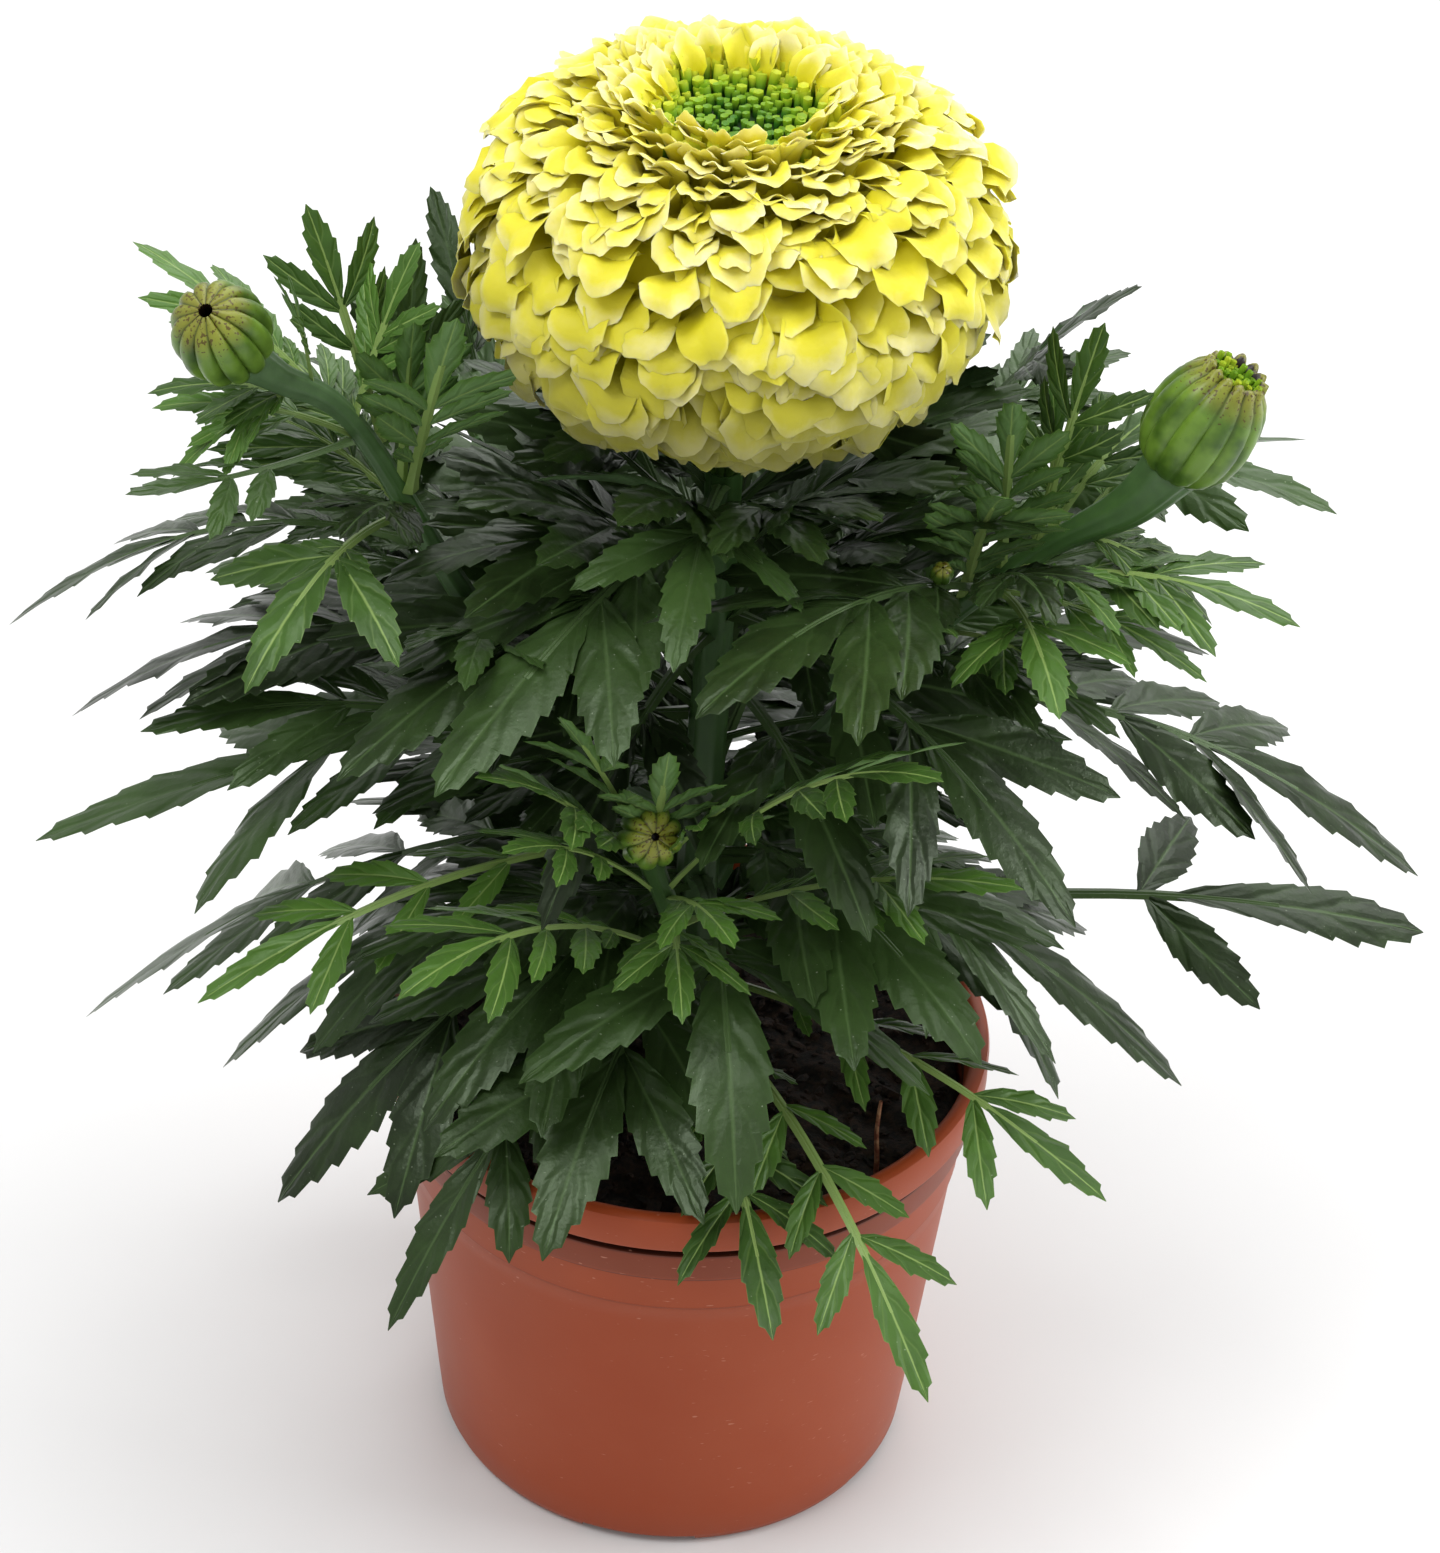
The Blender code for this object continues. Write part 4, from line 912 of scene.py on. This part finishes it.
def model_bud(bud, draw):
    """Models a bud upright with its colour marks, and then sets it on the end of its stalk."""
    mouth = bud.mouth
    outline = (*BUD_OUTLINE, (mouth + 0.12, 0.99), (mouth, 1.0), (mouth * 0.85, 0.97), (mouth * 0.7, 0.72))
    profile = [(reach * bud.radius, share * bud.length) for reach, share in outline]
    made = ribbed_head(bud.ribs, bud.depth, profile)
    ragged = [draw.uniform(0.3, 1) for _ in range(bud.ribs)]
    mouths, grooves = [], []
    for vertex in made.data.vertices:
        x, y, z = vertex.co / MM
        reach, up = sqrt(x * x + y * y) / bud.radius, z / bud.length
        # The first vertex of the ring, on +Y, lies in a groove.
        rib = (atan2(y, x) - pi / 2) / (2 * pi) * bud.ribs
        grooves.append(max(0, 1 - abs(rib - round(rib)) / 0.13) * min(1, up * 4))
        # A point inside the mouth is marked 2, and there the bract material paints shade near black.
        inside = up > 0.5 and reach < mouth * 0.9
        mouths.append(2 if inside else max(0, (up - 0.5) / 0.5))
        if up > 0.96 and not inside:
            tooth = abs(sin(pi * rib)) * ragged[int(rib % bud.ribs)]
            vertex.co.z += bud.teeth * tooth * MM
            vertex.co.xy *= 1 + 0.04 * bud.teeth * tooth
    add_marks(made.data, "mouth", mouths)
    add_marks(made.data, "groove", grooves)
    axis = Vector(bud.axis).normalized()
    base = Vector(bud.centre) - axis * bud.length / 2
    made.data.transform(Vector((0, 0, 1)).rotation_difference(axis).to_matrix().to_4x4())
    made.data.transform(Matrix.Translation(base * MM))
    return made


# Bract tissue: waxy green turning yellow towards the mouth, dark in the grooves, with brown oil
# glands and a brown edge round the mouth. Inside the mouth it is painted near black as shade.
bract, tree, shader = new_material(
    "waxy_bract", Roughness=0.36, IOR=1.45, Subsurface_Weight=0.1,
    Subsurface_Radius=(1.0 * MM, 1.5 * MM, 0.4 * MM),
)
place = add_node(tree, "TexCoord", output="Object")
clouds = add_node(tree, "TexNoise", {"Vector": place, "Scale": 150, "Detail": 3})
mouth = add_node(tree, "Attribute", output="Fac", attribute_name="mouth")
lighter = add_node(tree, "MapRange", {0: clouds, 1: 0.62, 2: 0.38, 3: 1, 4: 0})
yellowed = add_node(tree, "MapRange", {0: mouth, 1: 1.05, 2: 0.55, 3: 0.85, 4: 0})
groove = add_node(tree, "Attribute", output="Fac", attribute_name="groove")
upper = add_node(tree, "MapRange", {0: mouth, 1: 0.9, 2: 0.2, 3: 0.85, 4: 0})
lined = add_node(tree, "Math", {0: groove, 1: upper}, operation="MULTIPLY")
glands = add_node(tree, "TexNoise", {"Vector": place, "Scale": 1700, "Detail": 1})
denser = add_node(tree, "Math", {0: mouth, 1: 0.24}, operation="MULTIPLY")
glands = add_node(tree, "Math", {0: glands, 1: denser}, operation="ADD")
speckled = add_node(tree, "MapRange", {0: glands, 1: 0.85, 2: 0.8, 3: 0.8, 4: 0})
# The brown edge round the mouth, and painted shade, near black, inside it.
edge = add_node(tree, "MapRange", {0: mouth, 1: 1.2, 2: 0.93, 3: 1, 4: 0})
skin = "#3a5819"
for share, tint in (
    (lighter, "#65862e"), (yellowed, "#938f30"), (lined, "#2c3a12"), (speckled, "#45290f"), (edge, "#1a0d07"),
):
    skin = add_node(tree, "Mix", {"Factor": share, "A": skin, "B": tint}, "Result", data_type="RGBA")
relief = add_node(tree, "Bump", {"Height": clouds, "Strength": 0.3, "Distance": 0.3 * MM})
tree.links.new(skin, shader.inputs["Base Color"])
tree.links.new(relief, shader.inputs["Normal"])

draw = random.Random(4)
for name, bud in BUDS.items():
    replaced = () if name == "tiny" else ("bud_" + name,)
    finish_piece(model_bud(bud, draw), "ribbed_bud_" + name, bract, "buds", *replaced, sharp=80)

centres = stem_points(TINY_BUD_STALK, np.linspace(0, 1, 13))
tiny_stalk = tube(centres, np.linspace(1.4, 1.0, len(centres)), ridged_section(14, 5, 0.05))
finish_piece(add_object(joined_mesh([tiny_stalk])), "tiny_bud_stalk", stem_skin, "stems", sharp=80)

# Florets that are still closed: green quills with a rounded mouth. They show in the right bud, and
# fill the middle of the bloom. They stand on the head, side by side.

BUD_FLORETS = 46
QUILL_SIDES = 6
QUILL_PROFILE = ((0.6, 0), (0.8, 0.45), (1.0, 0.85), (0.95, 1.0), (0.45, 0.9))
quill_form = shape_of(raised_form(QUILL_SIDES, QUILL_PROFILE))


def stand_quill(foot, axis, width, height):
    """One floret, from its foot up an axis."""
    side = unit(np.cross(axis, (0.1, 1, 0)))
    turn = np.cross(axis, side)
    x, y, z = (quill_form.points / MM).T
    points = foot + side * (x * width)[:, None] - turn * (y * width)[:, None] + axis * (z * height)[:, None]
    return Shape(points, quill_form.faces)


# Young floret tissue: dark green at its foot as painted shade between the florets, and yellow where a floret
# nears opening.
floret_skin, tree, shader = new_material(
    "young_floret", Roughness=0.5, IOR=1.4, Subsurface_Weight=0.15,
    Subsurface_Radius=(0.8 * MM, 1.2 * MM, 0.3 * MM),
)
age = add_node(tree, "Attribute", output="Fac", attribute_name="age")
ripeness_and_foot_shade = add_node(tree, "ValToRGB", {0: age})
ramp = ripeness_and_foot_shade.node.color_ramp
ramp.elements[0].color = linear("#163509")
ramp.elements[1].color = linear("#d6d93a")
for share, tint in ((0.3, "#34701a"), (0.6, "#7fa51c")):
    ramp.elements.new(share).color = linear(tint)
tree.links.new(ripeness_and_foot_shade, shader.inputs["Base Color"])

bud = BUDS["right"]
axis = unit(np.array(bud.axis))
side = unit(np.cross(axis, (0.1, 1, 0)))
turn = np.cross(axis, side)
top = np.array(bud.centre) + axis * bud.length * 0.24
florets, ages = [], []
for i in range(BUD_FLORETS):
    share = sqrt((i + 0.5) / BUD_FLORETS)
    around = side * cos(i * GOLDEN_ANGLE) + turn * sin(i * GOLDEN_ANGLE)
    foot = top + around * share * (bud.mouth * bud.radius * 0.84)
    height = bud.length * 0.29 * draw.uniform(0.75, 1.12)
    florets.append(stand_quill(foot, unit(axis + around * 0.16 * share), 0.62, height))
    # Each floret is darkest at its foot: painted shade between the florets.
    ages.append(quill_form.points[:, 2] / MM * draw.uniform(0.5, 0.85))
mesh = joined_mesh(florets)
add_marks(mesh, "age", np.concatenate(ages))
finish_piece(add_object(mesh), "florets_in_bud", floret_skin, "florets", sharp=60)

# The cup under the bloom: the same joined bracts, long and ribbed, holding the petals' feet
# together on top of the main stem.

CUP_BASE = Vector((2, 0, 228.4))
CUP_PROFILE = (
    (3.2, 0), (3.8, 0.8), (5.2, 4), (6.8, 7), (7.9, 10.5), (8.5, 14), (8.6, 16.6), (7.6, 17), (5.5, 16.4),
)
CUP_RIBS = 12
cup = ribbed_head(CUP_RIBS, 1, CUP_PROFILE)
cup.data.transform(Matrix.Translation(CUP_BASE * MM))
finish_piece(cup, "ribbed_cup", bract, "buds", "bloom_calyx", sharp=80)

# The petals: the many ray florets of one double bloom, each a thin ruffled blade on a narrow claw.
# They stand round the green middle, open outwards and hang over one another like scales down to the
# cup. They grow from one head.

BLOOM_CENTRE = np.array((2.0, 0.0, 275.0))
BLOOM_RADIUS = 49.5
BLOOM_HALF_HEIGHT = 35.2
PETALS = 760
INNER_PETALS = 130
PETAL_COLUMNS = 8
PETAL_BLADE = 0.28
# A petal's length, half width and bend in degrees: each in the middle of the head, with what is added
# where petals are fully open, and at the bottom.
PETAL_LENGTH = (11, 7.5, 4)
PETAL_HALF_WIDTH = (2.6, 2.6, 2.2)
PETAL_BEND = (14, 84, -16)
# Angles from the top of the head: where the petals stand, where the inner ring of them does, in
# degrees, and how far the raised shoulder reaches.
HIGHEST_PETAL = radians(34)
LOWEST_PETAL = radians(150)
INNER_RING = (21.5, 35.5)
SHOULDER_END = radians(72)
SHOULDER_RISE = 0.3
# Above 1, petals stand closer together towards the top.
CROWDING = 1.12
# A petal is straight up to here, and then bends in small steps.
BEND_START = 0.42
BEND_STEPS = 24
CORE_SIDES = 64
CORE_PROFILE = ((6, -30), (19, -29), (29, -23), (35, -12), (37, 0), (35, 9), (31, 15), (26, 19.5), (20, 21))
# Place along a petal and its half width there, from its claw to its rounded end.
PETAL_OUTLINE = (
    (0, 0.24), (0.26, 0.6), (0.48, 0.88), (0.66, 1.0), (0.8, 1.0), (0.91, 0.93), (1, 0.76),
)
PLACES, REACHES = zip(*PETAL_OUTLINE)


def petal_form():
    """Models one flat petal, of unit length along Y and unit half width along X."""
    rows = len(PETAL_OUTLINE) - 1
    bpy.ops.mesh.primitive_grid_add(x_subdivisions=PETAL_COLUMNS, y_subdivisions=rows, size=2)
    blade = bpy.context.active_object
    bpy.ops.object.mode_set(mode="EDIT")
    for row in reversed(range(rows + 1)):
        height = 2 * row / rows - 1
        share, reach = PETAL_OUTLINE[row]
        select_points(blade.data, lambda co: abs(co.y - height) < 0.01)
        bpy.ops.transform.resize(value=(reach, 1, 1), center_override=(0, height, 0))
        bpy.ops.transform.translate(value=(0, 2 * share - 1 - height, 0))
    return close_blade(blade)


def grown(sizes, openness, lowness):
    """A petal's own size: that of the middle, with what is added."""
    middle, opened, low = sizes
    return middle + opened * openness + low * lowness


def lay_petal(form, polar, azimuth, openness, draw):
    """One petal's points: a channel that leaves the head outwards, and flares into a ruffled lip that
    bends down."""
    outward = np.array((sin(polar) * cos(azimuth), sin(polar) * sin(azimuth), cos(polar)))
    down = np.array((cos(polar) * cos(azimuth), cos(polar) * sin(azimuth), -sin(polar)))
    across = np.cross(outward, down)
    twist = draw.gauss(0, 0.1 + 0.2 * openness)
    down, across = down * cos(twist) + across * sin(twist), across * cos(twist) - down * sin(twist)
    lowness = min(1, max(0, (polar - radians(95)) / radians(30)))
    length = grown(PETAL_LENGTH, openness, lowness) * draw.uniform(0.88, 1.12)
    half_width = grown(PETAL_HALF_WIDTH, openness, lowness) * draw.uniform(0.8, 1.25)
    start = radians(draw.uniform(-16, 8))
    bend = radians(grown(PETAL_BEND, openness, lowness) + draw.uniform(-20, 24))
    x, forward, z = form.points.T
    column = x / np.interp(forward, PLACES, REACHES)

    steps = np.linspace(0, 1, BEND_STEPS + 1)
    bent = np.clip((steps - BEND_START) / (1 - BEND_START), 0, 1)
    angles = start + bend * bent ** 1.1
    reach_out = np.concatenate([[0], np.cumsum(np.cos(angles[1:])) / BEND_STEPS]) * length
    reach_down = np.concatenate([[0], np.cumsum(np.sin(angles[1:])) / BEND_STEPS]) * length
    out = np.interp(forward, steps, reach_out) - reach_out.max()
    low = np.interp(forward, steps, reach_down) - 0.4 * reach_down[-1]
    angle = np.interp(forward, steps, angles)
    normal = outward * np.sin(angle)[:, None] - down * np.cos(angle)[:, None]

    side = x * half_width
    channel = draw.uniform(0.5, 1.1) * (1 - 0.45 * openness) * half_width
    channel = channel * x ** 2 * np.exp(-((forward - 0.45) / 0.27) ** 2)
    # Round the lip the margin waves in and out, and curls a little back or in.
    across_lip, along_lip = column, (forward - 0.55) / 0.45
    nearness = np.minimum(1, np.hypot(across_lip, along_lip)) ** 2 * np.clip((forward - 0.3) / 0.3, 0, 1)
    turn = np.arctan2(across_lip, along_lip)
    ruffle = draw.uniform(0.12, 0.22) * half_width * nearness
    waves = ruffle * np.sin(turn * draw.uniform(2.6, 4.6) + draw.uniform(0, 2 * pi))
    curl = draw.uniform(-0.3, 0.15) * half_width * column ** 2 * forward ** 3
    lobes = 0.022 * length * np.sin(column * draw.uniform(4, 7) + draw.uniform(0, 2 * pi))
    ahead = (lobes - 0.13 * length * np.abs(column) ** 3) * forward ** 5
    roll = draw.gauss(0, 0.1)
    rise = channel + curl + waves + side * sin(roll) + z * PETAL_BLADE
    shoulder = np.array((1, 1, cos(polar) ** -SHOULDER_RISE if polar < SHOULDER_END else 1))
    edge = BLOOM_CENTRE + outward * (BLOOM_RADIUS, BLOOM_RADIUS, BLOOM_HALF_HEIGHT) * shoulder
    centre = edge - outward * draw.uniform(0, 1.5 + 3.5 * openness)
    return (
        centre
        + outward * (out + ahead * np.cos(angle))[:, None]
        + down * (low + ahead * np.sin(angle))[:, None]
        + across * (side * cos(roll))[:, None]
        + normal * rise[:, None]
    )


# Petal tissue: thin and soft, lemon yellow, so that light comes through it. It is painted deeper yellow in
# the throats as shade and paler towards the lips as highlight, and the petals at the bottom are painted
# olive as shade. Fine folds run along it, drawn at 1.2 mm.
petal_skin, tree, shader = new_material(
    "soft_lemon_petal", Roughness=0.55, IOR=1.4, Sheen_Weight=0.1, Subsurface_Weight=0.8,
    Subsurface_Radius=(4 * MM, 4 * MM, 1 * MM),
)
place = add_node(tree, "TexCoord", output="Object")
clouds = add_node(tree, "TexNoise", {"Vector": place, "Scale": 200, "Detail": 3})
clouds = add_node(tree, "MapRange", {0: clouds, 1: 0.3, 2: 0.7, 3: -0.1, 4: 0.1})
# Painted shade and highlight: deeper yellow in each petal's throat, paler towards its lip.
throat_shade_lip_highlight = add_node(tree, "Attribute", output="Fac", attribute_name="depth")
throat_shade_lip_highlight = add_node(tree, "Math", {0: clouds, 1: throat_shade_lip_highlight}, operation="ADD")
yellow = add_node(tree, "ValToRGB", {0: throat_shade_lip_highlight})
ramp = yellow.node.color_ramp
ramp.elements[0].position, ramp.elements[0].color = 0.1, linear("#c2ba0a")
ramp.elements[1].color = linear("#ece5a2")
for share, tint in ((0.4, "#d8cf14"), (0.72, "#e0d73a")):
    ramp.elements.new(share).color = linear(tint)
height = add_node(tree, "SeparateXYZ", {0: place}, "Z")
# Painted shade: petals low on the bloom are darkened towards olive.
low = add_node(tree, "MapRange", {0: height, 1: 0.256, 2: 0.284, 3: 0.8, 4: 0})
colours = {"Factor": low, "A": yellow, "B": "#5c5c10"}
tree.links.new(add_node(tree, "Mix", colours, "Result", data_type="RGBA"), shader.inputs["Base Color"])
folds = add_node(tree, "TexNoise", {"Vector": place, "Scale": 800, "Detail": 2})
relief = add_node(tree, "Bump", {"Height": folds, "Strength": 0.25, "Distance": 0.4 * MM})
tree.links.new(relief, shader.inputs["Normal"])

core_form = shape_of(raised_form(CORE_SIDES, CORE_PROFILE))
core_form = Shape(core_form.points / MM + BLOOM_CENTRE, core_form.faces)

form = petal_form()
draw = random.Random(7)
petals = [core_form]
throat_shade_lip_highlights = [np.full(len(core_form.points), 0.4)]
highest, lowest = cos(HIGHEST_PETAL), cos(LOWEST_PETAL)
for i in range(PETALS + INNER_PETALS):
    if i < PETALS:
        polar = np.arccos(highest + (lowest - highest) * ((i + 0.5) / PETALS) ** CROWDING)
    else:
        polar = radians(INNER_RING[0] + (INNER_RING[1] - INNER_RING[0]) * (i - PETALS) / INNER_PETALS)
    polar += radians(draw.uniform(-3, 3))
    azimuth = i * GOLDEN_ANGLE + radians(draw.uniform(-6, 6))
    openness = min(1, max(0, (polar - radians(22)) / radians(56))) ** 0.8
    petals.append(Shape(lay_petal(form, polar, azimuth, openness, draw), form.faces))
    # Painted light: darker at the throat as shade, paler at the lip and sides as highlight, and inner petals
    # a little lighter against the shade among them.
    throat_shade_lip_highlight = form.points[:, 1] * (0.85 + 0.2 * form.points[:, 0] ** 2)
    throat_shade_lip_highlights.append(throat_shade_lip_highlight + 0.08 * (1 - openness) + draw.uniform(-0.12, 0.12))
mesh = joined_mesh(petals)
add_marks(mesh, "depth", np.concatenate(throat_shade_lip_highlights))
finish_piece(add_object(mesh), "ruffled_petals", petal_skin, "petals", "bloom_petals", sharp=60)

# The middle of the bloom: unopened florets, packed as green quills that lengthen and turn yellow
# towards the petals. They stand in the hollow on top of the head.

FLORET_BASE = np.array((2.0, 0.0, 297.6))
FLORETS = 330
FLORET_DISC_RADIUS = 17.8
# A floret's height and width: in the middle, and what is added at the edge.
FLORET_HEIGHT = (2.6, 4.2)
FLORET_WIDTH = (0.72, 0.4)
DISC_SIDES = 48
DISC_PROFILE = ((17.0, 0), (17.6, 0.8), (14, 1.2), (8, 0.9), (3, 0.7))

disc_form = shape_of(raised_form(DISC_SIDES, DISC_PROFILE))

draw = random.Random(3)
florets = [Shape(disc_form.points / MM + FLORET_BASE, disc_form.faces)]
# The disc under the florets is painted the darkest green, as shade between them.
ages = [np.zeros(len(disc_form.points))]
for i in range(FLORETS):
    share = sqrt((i + 0.5) / FLORETS)
    outward = np.array((cos(i * GOLDEN_ANGLE), sin(i * GOLDEN_ANGLE), 0))
    lean = np.array((draw.uniform(-0.22, 0.22), draw.uniform(-0.22, 0.22), 1))
    axis = unit(lean + outward * (0.3 * share - 0.3 * share ** 6))
    height = (FLORET_HEIGHT[0] + FLORET_HEIGHT[1] * share ** 3) * draw.uniform(0.7, 1.2)
    width = (FLORET_WIDTH[0] + FLORET_WIDTH[1] * share) * draw.uniform(0.85, 1.15)
    foot = FLORET_BASE + outward * FLORET_DISC_RADIUS * share
    florets.append(stand_quill(foot, axis, width, height))
    # A floret is yellower the more it has ripened towards the edge, and darkest at its foot as painted shade
    # between the florets.
    age = quill_form.points[:, 2] / MM * (0.38 + 0.8 * share ** 2) + draw.uniform(-0.08, 0.16)
    ages.append(np.clip(age, 0, 1))
mesh = joined_mesh(florets)
add_marks(mesh, "age", np.concatenate(ages))
finish_piece(add_object(mesh), "quilled_florets", floret_skin, "florets", "bloom_florets", sharp=60)

# The studio: a wide pale floor, soft lights in front, above, beside and behind, and the camera where
# the photo was taken from. None of it is part of the plant.

FLOOR_SIZE = 12.0
SURROUNDING_LIGHT = 0.68
bpy.ops.mesh.primitive_plane_add(size=FLOOR_SIZE)
floor = bpy.context.active_object
floor.name = "studio_floor"
paper, tree, shader = new_material(
    "white_paper", Roughness=0.9, Specular_IOR_Level=0.1, Base_Color=linear("#dcdcdc")
)
floor.data.materials.append(paper)

world = bpy.data.worlds.new("studio")
world.use_nodes = True
world.node_tree.nodes["Background"].inputs["Color"].default_value = (1, 1, 1, 1)
world.node_tree.nodes["Background"].inputs["Strength"].default_value = SURROUNDING_LIGHT
bpy.context.scene.world = world
bpy.context.scene.view_settings.view_transform = "Standard"


def soft_light(name, place, aim, size, power):
    """A square soft box that faces a point."""
    lamp = bpy.data.lights.new(name, "AREA")
    lamp.size, lamp.energy = size, power
    made = bpy.data.objects.new(name, lamp)
    bpy.context.scene.collection.objects.link(made)
    made.location = place
    made.rotation_euler = (Vector(aim) - Vector(place)).to_track_quat("-Z", "Y").to_euler()


soft_light("key_light", (-0.55, -0.35, 1.3), (0, 0, 0.2), 0.5, 6.1)
soft_light("top_light", (0.1, -0.1, 1.55), (0, 0, 0.2), 0.8, 6.3)
soft_light("side_light", (1.1, -0.1, 0.6), (0, 0, 0.1), 0.6, 6.5)
soft_light("back_light", (0.35, 0.9, 1.1), (0, 0, 0.2), 1.3, 11)

# The camera stands in front of the plant, and looks down on it a little turned.
CAMERA_PLACE = Vector((-22, -733, 703)) * MM
CAMERA_PITCH = radians(36.6)
CAMERA_YAW = radians(2.03)
CAMERA_ROLL = radians(2.9)
FOCAL_PIXELS = 4790
FRAME_HEIGHT_PIXELS = 1553
SENSOR_HEIGHT = 36
ahead = Vector((
    sin(CAMERA_YAW) * cos(CAMERA_PITCH), cos(CAMERA_YAW) * cos(CAMERA_PITCH), -sin(CAMERA_PITCH)
))
level = Vector((cos(CAMERA_YAW), -sin(CAMERA_YAW), 0))
upward = level.cross(ahead)
right = level * cos(CAMERA_ROLL) + upward * sin(CAMERA_ROLL)
up = upward * cos(CAMERA_ROLL) - level * sin(CAMERA_ROLL)
lens = bpy.data.cameras.new("camera")
lens.sensor_fit = "VERTICAL"
lens.sensor_height = SENSOR_HEIGHT
lens.lens = FOCAL_PIXELS / FRAME_HEIGHT_PIXELS * SENSOR_HEIGHT
lens.clip_start = 0.01
camera = bpy.data.objects.new("camera", lens)
bpy.context.scene.collection.objects.link(camera)
camera.matrix_world = Matrix.Translation(CAMERA_PLACE) @ Matrix((right, up, -ahead)).transposed().to_4x4()
bpy.context.scene.camera = camera
